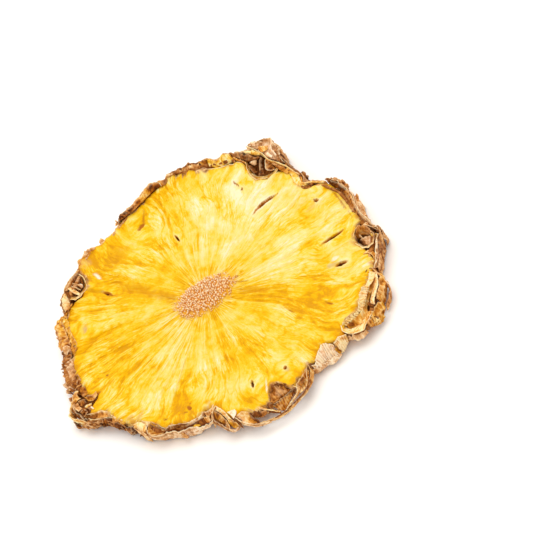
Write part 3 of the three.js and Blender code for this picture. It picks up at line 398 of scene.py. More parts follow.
6 -40.9 7.4 -39.8 9 -38.9 10.4 -37.8 11.2 -37 | 4.7 5 | 5.9 -44.1 7.4 -43.8 8.8 -42.6 9.9 -41 10.8 -39.2 |
    3.5 4.2 | .35 .4 .45 .4 .45 | 1 | .6 | shade .1 .1 | bow -.4 | ribs 6 .2
6.6 -41.4 7.6 -40.3 8.8 -39.7 | 4.9 | 7.3 -42.2 8.3 -41.3 9.1 -40.4 | 4.6 | 1 | .3 | 0 | shade 1 1 | rough
    .1
8.2 -43 9.3 -41.2 10.2 -39 10.8 -37.6 | 4.4 5 | .4 | 3.4 | .3 | .9 | 1
# near right: a fan of white pleats, then a smaller one
12.2 -38 13.4 -37.7 14.2 -36.5 15.2 -35.4 16.3 -34.4 17.3 -33.3 18.3 -33.9 19.3 -34.9 20 -36.2 | 5 5.2 5.2 5
    | 13 -40.4 14.2 -40.9 15.6 -41 16.8 -41.2 17.8 -41.4 18.7 -41.2 19.4 -40.4 19.9 -39.3 | 1.4 1 1.2 2.8 |
    .2 -.05 -.15 -.2 -.15 -.05 .1 | .2 | .9 | bow .6 | rough .3 | ribs 11 .45 | thick .5
20.2 -35.8 21.2 -35 22.2 -34.4 23.2 -34.8 24.3 -35.2 | 5 5.1 | 20.7 -40.2 21.4 -40 22.2 -39.5 22.9 -38.6
    23.8 -37.8 | 1.4 2.4 | .25 0 0 .1 .2 | .7 | .8 | bow .5 | rough .3 | ribs 7 .35 | thick .5
12 -39.4 13.6 -39.5 15.2 -39.7 16.4 -39.9 | 3.4 2.8 | 11.9 -41.2 13.2 -41.6 14.8 -41.2 16.2 -41.2 | .8 | .6
    .35 .4 .2 | .1 | .4 | bow .5 | rough .45
16.2 -39.8 17.4 -39.8 18.8 -39.8 20.4 -39.6 | 2.8 | 16.6 -41.5 17.8 -42 19 -41.6 20.6 -40.5 | .8 | .1 0 .1
    .2 | .2 | .4 | bow .5 | rough .3
11.7 -36.9 12.3 -37.2 12.8 -37.6 | 5.1 | 11.9 -38.6 12.5 -38.7 13 -38.5 | 4 | 1 | .3 | .1 | shade .9 1
19.7 -37.5 20 -37.2 20.4 -37.7 | 4.7 | 20 -39.7 20.4 -39.9 20.8 -39.5 | 3.3 | .55 | 1.6 | 0 | shade .1 .2 |
    rough .05
20.1 -37.4 20.4 -38.4 20.8 -39.4 | 4.8 3.6 | 20.5 -37.6 20.8 -38.6 21.1 -39.4 | 4.6 3.5 | 1 | .6 | 0 | shade
    1 1 | rough .05
# right: the hooked fold with its crumbling inner edge
24.6 -31.6 26 -31.2 28 -30.6 29.8 -30.2 31 -29 32 -27.4 33.2 -25.4 34.6 -24.1 | 5 5.1 5.3 | 25.3 -32.8 26.5
    -32.5 28.3 -32 30.5 -31.5 32.5 -30.1 33.8 -28.5 35 -26.9 36.2 -25.5 | 4.2 4.5 | .1 0 -.05 -.1 -.15 -.1 |
    1.3 1 .8 | .8 | rough .5 | ribs 17 .55
34.4 -24.2 35.8 -23.8 37 -22.9 38 -21.4 38.7 -20.4 | 5.3 | 36 -25.2 37.2 -24.7 38.2 -24 39.2 -23 39.8 -21.8
    | 5 | .1 -.1 0 .05 | .9 | .6 | rough .35
25.6 -32.6 26.8 -32.2 28.6 -31.9 30.6 -31.3 32.4 -29.7 33.6 -28 34.8 -26.5 36 -25.2 38 -24.2 39.4 -23.2 |
    4.7 4.9 | 25.7 -34.6 27.6 -35.1 29.7 -34.8 31.8 -33.4 33.2 -31 34.4 -29.4 35.4 -28.2 36.8 -26.6 38.2 -25
    39.3 -23.8 | 3.4 3.2 3.4 4.5 | .45 .4 .3 .3 .4 .3 .35 | 1.3 1.3 1.2 1.3 1.6 | .1 | shade .1 0 | bow -.3
    | rough .2 | pleat .12
26.1 -32.8 26.8 -32.6 27.4 -32.9 | 4.6 | 26.2 -33.6 26.8 -33.7 27.6 -33.4 | 4.3 | .85 | .9 | 0 | shade .5 .5
    | rough .1
24.3 -31.6 23.9 -33.4 24.4 -34.7 25.6 -35.9 27.4 -36.8 28.9 -37 30.1 -35.9 31.2 -35.1 32.5 -34.1 33.4 -32.9
    | 5 4.9 5.1 | 25.4 -32.6 25.6 -33.8 26.4 -34.6 27.6 -34.9 29 -34.8 30.2 -34.2 31.4 -33.4 32.4 -32.4 |
    3.9 3.5 | .15 .1 .15 .2 .3 .3 | 1 | 1 | rough .15
35 -31.6 35.4 -30.2 36.6 -28.6 38 -27 38.8 -25.8 39.5 -24.2 39.9 -22.6 | 5.4 | 34.2 -30.6 34.8 -29.4 35.9
    -28 37.2 -26.5 38.2 -25.2 39 -23.8 39.5 -22.6 | 4.6 | .1 .1 .2 .15 .05 | .7 | 1 | rough .12
33.4 -30 34 -29.6 34.6 -30.2 | 4.7 | 33.6 -31.4 34.2 -31.8 34.9 -31.6 | 4.2 | 1 | .4 | 0 | shade 1 1 | rough
    .05
24.6 -35 25.8 -36.2 27.4 -37.1 28.7 -37.3 | 4.8 4.7 | 24.8 -35.5 25.8 -36.8 27.3 -37.6 28.6 -37.8 | 4.2 | 1
    | .6 | 0 | shade 1 1 | rough .05
24.4 -35.6 25.4 -36.7 26.8 -37.5 28.4 -37.8 29.4 -37.5 | 4.4 4.2 | 25 -37.4 25.8 -38.4 27 -39.2 28.4 -39.5
    29.6 -39 | 2 1.2 | .3 .35 .25 .4 | .25 | .3 | bow .6 | rough .45 | pleat .1
29.4 -36.7 30 -36.5 30.7 -36.9 | 4.5 | 29.6 -38 30.2 -38.2 30.8 -37.8 | 3 | 1 | .5 | 0 | shade 1 1 | rough
    .1
30.4 -35.7 31.4 -35.1 32.2 -34.9 | 5 | 30.6 -37.6 31.4 -38.2 32 -38.2 | 2.2 | .6 .45 .5 | .9 | .4 | bow .3 |
    rough .35 | pleat .1
32.2 -34.4 33.4 -33 34.6 -32.2 36 -31.8 37.2 -32.4 | 5.1 5.2 4.8 | 32 -38 33.2 -38.6 34.4 -38.4 35.4 -37.4
    36.6 -35.8 | 1.6 1.2 1.8 | .4 .35 .45 .4 | 1.3 | .4 | bow .5 | rough .8
33 -35 33.4 -36.2 32.8 -37.4 | 4.4 3 | 33.6 -35 34 -36.2 33.4 -37.6 | 4.2 2.6 | .9 | .8 | 0 | shade .5 .9 |
    rough .1
36.2 -29.6 37.6 -27.9 38.9 -26.2 40 -24.2 40.4 -22.6 | 5.1 | 36.6 -34.2 38.4 -32.4 39.8 -30.4 40.8 -28 41
    -24.8 | 1.6 2 3.4 | .45 .4 .4 .45 | 1 | .3 | bow .3 | rough .45
40 -21.8 40.6 -23.6 41 -26 41.1 -28.4 | 5.3 3.4 | -.4 | 1.2 | .15 | .4 | 1
37.4 -34.4 39.2 -32.4 40.6 -30 41.2 -27 | 2.6 3.8 | -.5 | .4 | .5 .6 | .5 | .2 | rough .3
# right: the strap beside the near eye, and that eye
40 -20.4 41.5 -18.8 42.5 -16.8 43.5 -14.5 44.7 -12.5 46 -11 | 5.3 6.2 7.1 | 41 -21 42.5 -19.2 43.7 -17.2
    44.8 -14.8 45.8 -12.8 46.8 -11.2 | 4.2 4.5 5.2 | .35 .25 .1 .05 .1 .25 | .2 | .8 | rough .15 | thick .5
41 -20.6 42.6 -18.8 43.8 -16.8 44.9 -14.4 45.9 -12.4 47 -10 | 4.8 5.4 6.6 | -.2 | .5 | .5 .6 .7 .5 | .4 | .1
    | rough .35
39.8 -14.2 41.2 -15 41.6 -16.8 41 -18.8 | 5.3 | 41.6 -13.8 42.4 -15 42.6 -16.6 41.8 -18.6 | 4.7 | .35 .5 .45
    | 1 | .2
37.5 -19.8 38.3 -19.4 39.4 -19.8 39.9 -21 39.6 -22.6 | 5.4 | .4 | 4.4 | .95 .8 .3 .35 | .8 | .2 | rough .1
42.8 -4.2 41.3 -5.4 40 -7 39.5 -8.2 39.7 -9.6 40.2 -10.8 40.7 -12.3 42 -13 43.4 -12.6 44.4 -11.6 45 -10.2
    44.9 -8.4 | 6.8 5.8 5.5 5.5 6 6.9 | 42.4 -5.8 41.6 -6.4 40.9 -7.4 40.4 -8.4 40.4 -9.6 40.8 -10.8 41.2
    -11.8 42.2 -12.3 43.2 -11.9 43.8 -11 44.1 -9.6 43.9 -8.2 | 4.4 3.5 3.2 3.2 3.6 4.2 | .5 .35 .2 .1 .1 .1
    .2 .5 .5 | 1.4 1 .6 | .8 | shade 0 .9 | rough .25
41.2 -5.6 42.6 -4.3 44.2 -5.4 45 -7.4 44.9 -9 | 6.4 7 6.9 | 40.6 -8.2 41.6 -8.6 42.4 -8.4 43.2 -8.8 44 -9.6
    | 4 4.5 | .7 .5 .65 .45 | 1.2 .9 .4 | .4 | shade 0 .6 | rough .5
41.2 -9.6 42.4 -9.2 43.6 -9.6 44.3 -10.4 | 4.9 5.6 | 41.4 -11.4 42.2 -12.2 43.2 -12.2 43.9 -11.4 | 4.4 | .9
    .4 .35 .5 | 0 | .4 | rough .5
41.7 -5.8 41.9 -8.2 42.3 -10.8 | 5.7 4.5 | .3 | 3 | .6 | .6 | .8 | rough .25
44.2 -5 45.4 -6.8 46.4 -8.8 47.1 -10 | 6.8 6.6 | 45.2 -4.8 46.2 -6.6 46.9 -8.2 47.4 -9.6 | 6.2 | .3 .45 .3 |
    .5 | .9
44.5 -8.4 45.4 -9.6 46 -10.8 | 6 | 44.2 -10.8 44.8 -11.6 45.6 -11.8 | 4.6 | .3 | 1.6 | .3
"""

# Lumps of dried skin at the rim: x, y, height of the middle as seen, half length, half width,
# half height, turn, tone, warm and how rough.
LUMPS = [
    (-43.1, 13.8, 3.8, 1.6, 1.2, 1.1, 80, 0.4, 0.2, 0.3),
    (-45.3, 1.6, 4.1, 1.3, 1.1, 0.9, 60, 0.6, 0.7, 0.45),
    (-47, -13.8, 3, 1.9, 1, 1.3, -50, 0.6, 0.5, 0.6),
    (-46.2, -14.8, 2.6, 1.5, 0.9, 1.2, -35, 0.7, 0.6, 0.6),
    (44.6, 14.8, 6.3, 0.9, 0.6, 0.6, 70, 0.55, 0.15, 0.4),
    (-42.2, 22.6, 3.9, 1.4, 0.8, 0.7, 75, 0.3, 1.2, 0.5),
    (-46.4, -8.8, 4.2, 0.9, 0.7, 0.8, 20, 0.65, 0.7, 0.6),
]

# Places that the fibres run round: x, y from the core's middle, and radius.
WHORLS = [
    (24, 29, 4.2), (39.5, 8, 4.2), (38, -6.5, 3.6), (36, -16.5, 3.4), (-4.5, 36, 4.6), (1.4, 25, 1.2),
    (-1, -36.2, 3), (8.7, -37.5, 3), (-22.5, 20.5, 2.6), (-33.5, 13.5, 3.2), (27, 18.5, 2.4),
    (-15, -26, 2.6), (29, -24, 3.4),
]

# Slits and pits in the flesh: x, y, half length, half width, turn, bow, depth, darkness.
SLITS = [
    (27.6, 17.7, 3.3, 0.42, 8, 0.5, 0.6, 0.45), (38, -7.1, 2.9, 0.48, -4, 0.1, 0.8, 0.75),
    (36, -16.9, 1.3, 0.5, -24, 0, 1, 0.9), (1.4, 24.6, 1.05, 0.26, 95, 0, 0.8, 1),
    (-1.1, -36.5, 1.05, 0.3, 78, 0, 0.9, 0.95), (8.5, -37.6, 0.5, 0.35, 62, 0, 0.6, 0.55),
    (39.7, 7.6, 0.8, 0.36, -60, 0, 0.5, 0.6), (24.2, 26.9, 0.35, 0.26, 20, 0, 0.5, 0.5),
    (23.6, 29.6, 0.9, 0.2, 110, 0, 0.3, 0.2), (-23.4, 21.2, 0.6, 0.28, -55, 0, 0.5, 0.8),
    (-22.6, 19.6, 0.3, 0.2, -20, 0, 0.4, 0.6),
]

# Stains, thin places, grey patches and painted light: x, y, half length, half width, turn and strength.
STAINS = {
    "brown": [
        (-5.6, 36, 1.7, 0.7, 20, 0.8), (-5, 36.2, 0.6, 0.35, 40, 1), (-3.6, 38.6, 2.6, 0.5, 60, 0.55),
        (-23.1, 20.6, 1.5, 0.7, -58, 0.95), (-26, 23.8, 3.6, 0.6, -40, 0.38),
        (17.9, -21.6, 1.6, 0.3, -62, 0.6), (27.6, -26, 1.7, 0.4, -62, 0.75),
        (-9.5, 7.6, 3.6, 0.4, 122, 0.35), (9.6, 0.2, 2.6, 0.35, -20, 0.45),
        (10.6, -2.6, 2.4, 0.35, -36, 0.5), (9, -4.6, 2.2, 0.35, -42, 0.4),
        (-34, -5.8, 0.5, 0.4, 0, 0.75), (-18.8, -31.6, 0.5, 1.1, 10, 0.8),
        (-25.8, -30.8, 1, 0.4, -15, 0.75), (-20.4, -32.2, 0.8, 0.4, -20, 0.65),
        (-18, -30.2, 0.4, 0.5, 0, 0.55), (-40, -10.5, 1.8, 1.5, 30, 0.85),
        (45.1, 2.1, 7, 0.35, 92, 0.6), (-7.6, 42.2, 3.6, 0.3, 12, 0.6),
    ],
    "ochre": [
        (-22.2, 19.2, 0.8, 0.5, -40, 0.7), (-15.5, 31, 4.5, 3.2, 30, 0.55),
        (-36.5, -9.5, 3, 0.8, 12, 0.45), (17.8, -20.5, 3, 0.6, -50, 0.6),
        (29.6, -23.6, 1.3, 0.4, -5, 0.65), (-10.5, 9, 6, 1.5, 126, 0.85),
        (-15.5, 16.5, 7.5, 1.5, 125, 0.65), (11.5, -7, 5.5, 1, -32, 0.6),
        (2.5, -40.2, 1.8, 0.25, 68, 0.6), (6.3, -42.4, 2.4, 0.3, -62, 0.8),
        (37.5, 7, 1.8, 1.2, 30, 0.45), (-16.5, -5.5, 1, 0.5, 10, 0.35),
        (-22.5, -29.2, 1.4, 0.8, 20, 0.7), (-31.5, -25.6, 2.6, 0.9, 45, 0.7),
        (-13.6, -34.6, 0.6, 1.8, 8, 0.6), (-34.2, -24.2, 1.4, 0.9, -30, 0.8),
    ],
    "thin": [
        (1.9, -39.4, 2.4, 0.28, 68, 0.85), (-23.4, 28.2, 0.5, 1.5, 12, 0.9),
        # the one beside the pit at (35.3, -13.9) is a painted highlight
        (35.3, -13.9, 1.3, 0.6, -12, 0.85),
    ],
    "grey": [
        # the one beside the pit at (33.6, -15.2) is painted shading
        (-33.6, 13.4, 0.8, 1.6, -25, 0.75), (33.6, -15.2, 1.8, 0.7, -22, 0.7),
        (-25, 35.5, 1.6, 2.4, 20, 0.4), (8.8, -38.8, 1.3, 0.6, 80, 0.6),
    ],
}

# Broad paler and deeper patches of the flesh: x, y, radius and change of paleness.
PATCHES = [
    (11, 0, 4, -0.1), (8, 12, 6, 0.16), (0, 17, 5, 0.12), (-9.5, 5.5, 4, -0.16), (9.5, -6, 4, -0.12),
    (8.5, -15, 5, 0.14), (-15.5, 27, 5, -0.12), (-31, 0, 5, 0.1), (33, 19, 5, -0.08),
    (19, 33, 5, -0.08), (0, 38, 5, -0.08), (-5.5, -33, 3, 0.16), (7.5, -33, 2.6, 0.12),
]

# Where the skin's brown runs into the flesh's edge: angle, half width, how far in and strength.
BROWNING = [
    (71, 12, 4, 0.9), (100, 14, 1.6, 0.8), (133, 7, 2.6, 0.8), (168, 16, 1.5, 0.7), (205, 10, 1.2, 0.5),
    (232, 14, 1, 0.6), (276, 22, 1.6, 0.7), (318, 16, 1.2, 0.6), (348, 10, 1.2, 0.5), (24, 14, 1, 0.5),
]

# How far the fibres wander, in radians at CELL_RADIUS: strength, power of the radius, size of the
# bends and seed.
WANDERS = [(0.11, 1, 13, 31), (0.045, 2, 4.6, 32)]
# A whorl or an eye turns the fibres back by at most this part of their angle from it, out to about
# this much of its size, and evenly within this much.
HOLD_MOST, HOLD_REACH, HOLD_INNER = 0.62, 0.8, 0.15

# Noises drawn out along the fibres: how fine round the core, their shift, their length along the
# fibres and their seed. In turn the strands, threads, hairs, tucks at the rim and dashes at the core.
FIBRE_NOISES = [(13, 60, 15, 41), (33, 90, 8, 42), (80, 99, 4.5, 43), (34, 20, 6, 49), (60, 9, 1.2, 50)]

# Grid sizes.
ROUND_FLESH = 960
ROWS_FLESH_TOP = 86
ROWS_FLESH_EDGE = 5
ROWS_FLESH_UNDER = 8
ROUND_RIND = 1300
RIND_ZONES = {"wall": 18, "crest": 5, "inner": 6, "floor": 12, "under": 6}
SHEET_STEP = (0.17, 0.2)  # grid step along and across a papery sheet
WALL_LEAST = 0.5  # a sheet whose foot lies this far outside its crest is an outer wall
WALL_BUCKLE = 0.8
SHEET_LEAST = (0.25, 0.2)  # the front and the back of a sheet stay this far above the table
LUMP_LEAST = 0.3
LUMP_ROWS, LUMP_SIDES = 20, 30
PEG_STEP = 0.62  # from one of the core's fibre ends to the next
PEG_ROW_STEP = 0.87 * PEG_STEP
PEG_SHAKE = 0.36
PEG_HALF_WIDTH = (0.19, 0.31)
PEG_EXTRA_HEIGHT = (0.1, 0.7)
PEG_SIDES = 7
PEG_RINGS = 5

# The rim's sheets are made as four pieces, each a quarter round from these angles.
QUARTERS = {"right": -45.0, "far": 45.0, "left": 135.0, "near": 225.0}
SCRAPS = 170
SCRAP_LEAST, SCRAP_MOST = (1.2, 0.8, 0.25, -0.8), (3.4, 2.4, 0.9, 0.8)  # length, height, lean, tilt
NO_SCRAPS = (238.0, 300.0)  # where the wall is smooth behind the outer loop
LOW_SCRAPS = (200.0, 352.0)  # where they stay behind the outermost folds


# ---- Numbers over arrays


def smooth(low, high, x):
    """0 below low, 1 above high, and between them 3t^2 - 2t^3 of the part t of the way."""
    t = np.clip((x - low) / (high - low), 0.0, 1.0)
    return t * t * (3.0 - 2.0 * t)


def level_ease(x):
    """Half a cosine from 0 to 1, level at both ends."""
    return (1.0 - np.cos(np.pi * x)) / 2.0


def bulge_ease(x):
    """A quarter sine raised to BULGE: leaves 0 steeply and arrives level at 1."""
    return np.sin(np.pi / 2.0 * x) ** BULGE


def wave_through(pairs, ease=level_ease):
    """A wave through (angle, value) pairs in rising order, which closes after a full turn.

    Between two pairs it goes from the lower value to the higher by ease(x), where x is 0 at the
    lower one and 1 at the higher.
    """
    at = np.array([pair[0] for pair in pairs] + [pairs[0][0] + FULL_TURN])
    value = np.array([pair[1] for pair in pairs] + [pairs[0][1]], float)

    def wave(degrees):
        angle = (degrees - at[0]) % FULL_TURN + at[0]
        i = np.clip(np.searchsorted(at, angle, side="right") - 1, 0, len(at) - 2)
        x = (angle - at[i]) / (at[i + 1] - at[i])
        low = np.minimum(value[i], value[i + 1])
        high = np.maximum(value[i], value[i + 1])
        return low + (high - low) * ease(np.where(value[i + 1] > value[i], x, 1.0 - x))

    return wave


def around(radius, degrees):
    """x and y at a radius and an angle round the core."""
    return radius * np.cos(np.radians(degrees)), radius * np.sin(np.radians(degrees))


def degrees_of(x, y):
    """The angle of a point round the core."""
    return np.degrees(np.arctan2(y, x))


def angle_from(degrees, at):
    """The signed angle from `at`, between -180 and 180 degrees."""
    return (degrees - at + FULL_TURN / 2) % FULL_TURN - FULL_TURN / 2


def bell(x, half):
    """Half a cosine from 1 at x = 0 down to 0 at the half width on either side."""
    return (1.0 + np.cos(np.pi * np.clip(np.abs(x) / half, 0.0, 1.0))) / 2.0


def hump(x, width):
    """exp(-(x / width)^2)."""
    return np.exp(-((x / width) ** 2))


def random_at(cells, seed):
    """An even random number in -1 to 1 for each whole-number lattice point."""
    mixed = np.full(cells[0].shape, seed * 668265263 % 2**32, np.uint64)
    for cell, prime in zip(cells, (374761393, 2246822519, 3266489917)):
        mixed = (mixed ^ (cell.astype(np.int64).astype(np.uint64) * np.uint64(prime))) & np.uint64(0xFFFFFFFF)
        mixed = (mixed * np.uint64(2654435761)) & np.uint64(0xFFFFFFFF)
        mixed ^= mixed >> np.uint64(15)
    return mixed.astype(float) / 2**31 - 1.0


def noise(x, y, z=0.0, seed=1):
    """Lattice noise: the random numbers at the eight corners round a point, blended smoothly."""
    places = np.broadcast_arrays(np.asarray(x, float), y, z)
    cells = [np.floor(place) for place in places]
    parts = [place - cell for place, cell in zip(places, cells)]
    blends = [part**3 * (part * (part * 6.0 - 15.0) + 10.0) for part in parts]
    total = np.zeros(places[0].shape)
    for corner in itertools.product((0, 1), repeat=3):
        weight = np.ones(total.shape)
        for blend, side in zip(blends, corner):
            weight = weight * (blend if side else 1.0 - blend)
        total += weight * random_at([cell + side for cell, side in zip(cells, corner)], seed)
    return total


def rough_noise(x, y, z=0.0, seed=1, octaves=3):
    """A sum of noises, each at 2.1 times the fineness and half the strength of the last."""
    total, weight, scale = 0.0, 1.0, 1.0
    for octave in range(octaves):
        total = total + weight * noise(x * scale, y * scale, z * scale, seed + 17 * octave)
        weight, scale = weight * 0.5, scale * 2.1
    return total / (2.0 - 2.0 * weight)


# ---- The slice's plan and heights


OUTLINE = wave_through([pair for row in FRUITLETS for pair in (row[:2], row[2:4])], bulge_ease)
LIP, TONE = (wave_through([(row[0], row[column]) for row in FRUITLETS]) for column in (4, 5))


def placed(points):
    """Moves points from where the camera sees them against the plane at VIEW_LEVEL to where they
    are, from the core's middle: a point above the plane shows further up the view by its height
    above the plane over the tangent of the elevation."""
    points = np.array(points, float)
    shift = (points[..., 2] - VIEW_LEVEL) / np.tan(np.radians(VIEW_ELEVATION))
    x = points[..., 0] + VIEW_MIDDLE[0]
    return np.stack([x, points[..., 1] - shift + VIEW_MIDDLE[1], points[..., 2]], -1)


def polar_lines(points):
    """The radius and height of a closed line round the core at any angle, straight between its
    points."""
    x, y, z = placed(points).T
    at = degrees_of(x, y) % FULL_TURN
    order = np.argsort(at)
    at, radius, height = at[order], np.hypot(x, y)[order], z[order]

    def along(values):
        return lambda degrees: np.interp(degrees, at, values, period=FULL_TURN)

    return along(radius), along(height)


def edge_points():
    """The flesh's edge as x, y and height, with the heights read off at each point's angle."""
    (x, y), (at, height) = FLESH_EDGE.T, EDGE_HEIGHTS.T
    seen_at = degrees_of(x + VIEW_MIDDLE[0], y + VIEW_MIDDLE[1])
    return np.stack([x, y, np.interp(seen_at, at, height, period=FULL_TURN)], -1)


FLESH_LINE, FLESH_RISE = polar_lines(edge_points())


def rim_noise(degrees, length, seed, octaves=3):
    """Noise along the rim, with features about `length` millimetres long, which closes on itself."""
    x, y = around(RIM_RADIUS / length, degrees)
    return rough_noise(x + 50, y + 50, seed * 7.3, seed, octaves)


def flesh_edge(degrees):
    """The flesh's outer radius: its line round the eyes, made a little ragged."""
    ragged = 0.26 * rim_noise(degrees, 2.6, 11) + 0.28 * rim_noise(degrees, 0.8, 12, 2)
    return FLESH_LINE(degrees) + 0.3 + ragged


def ring_edge(degrees):
    """The outer radius of the skin's body, which draws in behind the outer loop."""
    inset = RING_INSET + sum(depth * bell(angle_from(degrees, at), half) for at, half, depth in WINDOWS)
    return OUTLINE(degrees) - inset + 0.3 * rim_noise(degrees, 3.2, 5)


def foot_height(degrees):
    """The rim's foot: flat on the table in several patches, lifted a little between them."""
    wave = np.cos(np.radians(FOOT_PATCHES * degrees))
    return FOOT_LIFT * np.maximum(0.0, -wave) ** 2


def core_oval(x, y):
    """Distance from the core's middle in units of its half sizes."""
    return np.hypot(x / CORE_HALF_LENGTH, y / CORE_HALF_WIDTH)


def plain_flesh(radius, degrees):
    """The flesh's upper face without its relief: creases that deepen outwards and the core's oval
    mound, eased into the height of the flesh's edge."""
    oval = core_oval(*around(radius, degrees))
    reach = np.clip(radius / FLESH_RADIUS, 0.0, 1.1)
    wave = sum(rise * bell(angle_from(degrees, at), half) for at, half, rise, _ in CREASES)
    inner = FLESH_TOP + CORE_RISE * (1.0 - smooth(0.7, 1.15, oval)) + reach**1.5 * wave
    blend = smooth(0.76, 1.0, radius / FLESH_LINE(degrees))
    return inner + (FLESH_RISE(degrees) - inner) * blend


def in_oval(x, y, spot_x, spot_y, long, wide, turn, bow=0.0):
    """Distance from an oval's middle in units of its half sizes, after turning it and bending
    its length into a bow; 1 is the oval's edge."""
    c, s = around(1.0, turn)
    u = ((x - spot_x) * c + (y - spot_y) * s) / long
    v = (-(x - spot_x) * s + (y - spot_y) * c) - bow * (1.0 - u * u)
    return np.hypot(u, v / wide)


# ---- Meshes


def ring_faces(rows, columns, rows_close=False):
    """Quads of a grid whose columns close round a ring, and whose rows may close too."""
    last = rows if rows_close else rows - 1
    row, column = np.meshgrid(np.arange(last), np.arange(columns), indexing="ij")
    next_row, next_column = (row + 1) % rows, (column + 1) % columns
    corners = ((row, column), (next_row, column), (next_row, next_column), (row, next_column))
    return np.stack([r * columns + c for r, c in corners], -1).reshape(-1, 4)


def closed_faces(rows, columns):
    """The faces of such a grid closed by two poles, the first point after the grid and the next."""
    here = np.arange(columns)
    after, last = (here + 1) % columns, (rows - 1) * columns
    first_pole, last_pole = (np.full(columns, rows * columns + pole) for pole in (0, 1))
    return [
        ring_faces(rows, columns),
        np.stack([first_pole, here, after], -1),
        np.stack([last_pole, last + after, last + here], -1),
    ]


def make_piece(name, points, faces, attributes, material):
    """A smooth mesh object at the origin from points in millimetres about the core's middle."""
    metres = (points + np.array([CORE_MIDDLE[0], CORE_MIDDLE[1], 0.0])) * MM
    mesh = bpy.data.meshes.new(name)
    mesh.from_pydata(metres.tolist(), [], faces)
    for label, values in attributes.items():
        kind = "FLOAT" if values.ndim == 1 else "FLOAT_VECTOR"
        layer = mesh.attributes.new(label, kind, "POINT")
        layer.data.foreach_set("value" if kind == "FLOAT" else "vector", values.ravel())
    mesh.polygons.foreach_set("use_smooth", [True] * len(mesh.polygons))
    mesh.materials.append(material)
    mesh.update()
    piece = bpy.data.objects.new(name, mesh)
    bpy.context.scene.collection.objects.link(piece)
    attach(piece, "root")
    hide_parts(SLICE_NODE)


# ---- Flesh


def fibre_angle(x, y, radius, degrees):
    """The direction that names a fibre: the plain angle, wandering more with the radius, and held
    back round each whorl and eye so that the fibres part and run round it, as water round a post."""
    angle = np.radians(degrees)
    for strength, power, size, seed in WANDERS:
        angle = angle + strength * (radius / CELL_RADIUS) ** power * noise(x / size, y / size, 0.5, seed)
    for post_x, post_y, size in WHORLS + EYES:
        off = angle_from(degrees, degrees_of(post_x, post_y))
        away = (x - post_x) ** 2 + (y - post_y) ** 2
        held = np.clip(HOLD_REACH * size**2 / (away + HOLD_INNER * size**2), 0.0, HOLD_MOST)
        angle = angle - np.radians(off) * held
    return angle


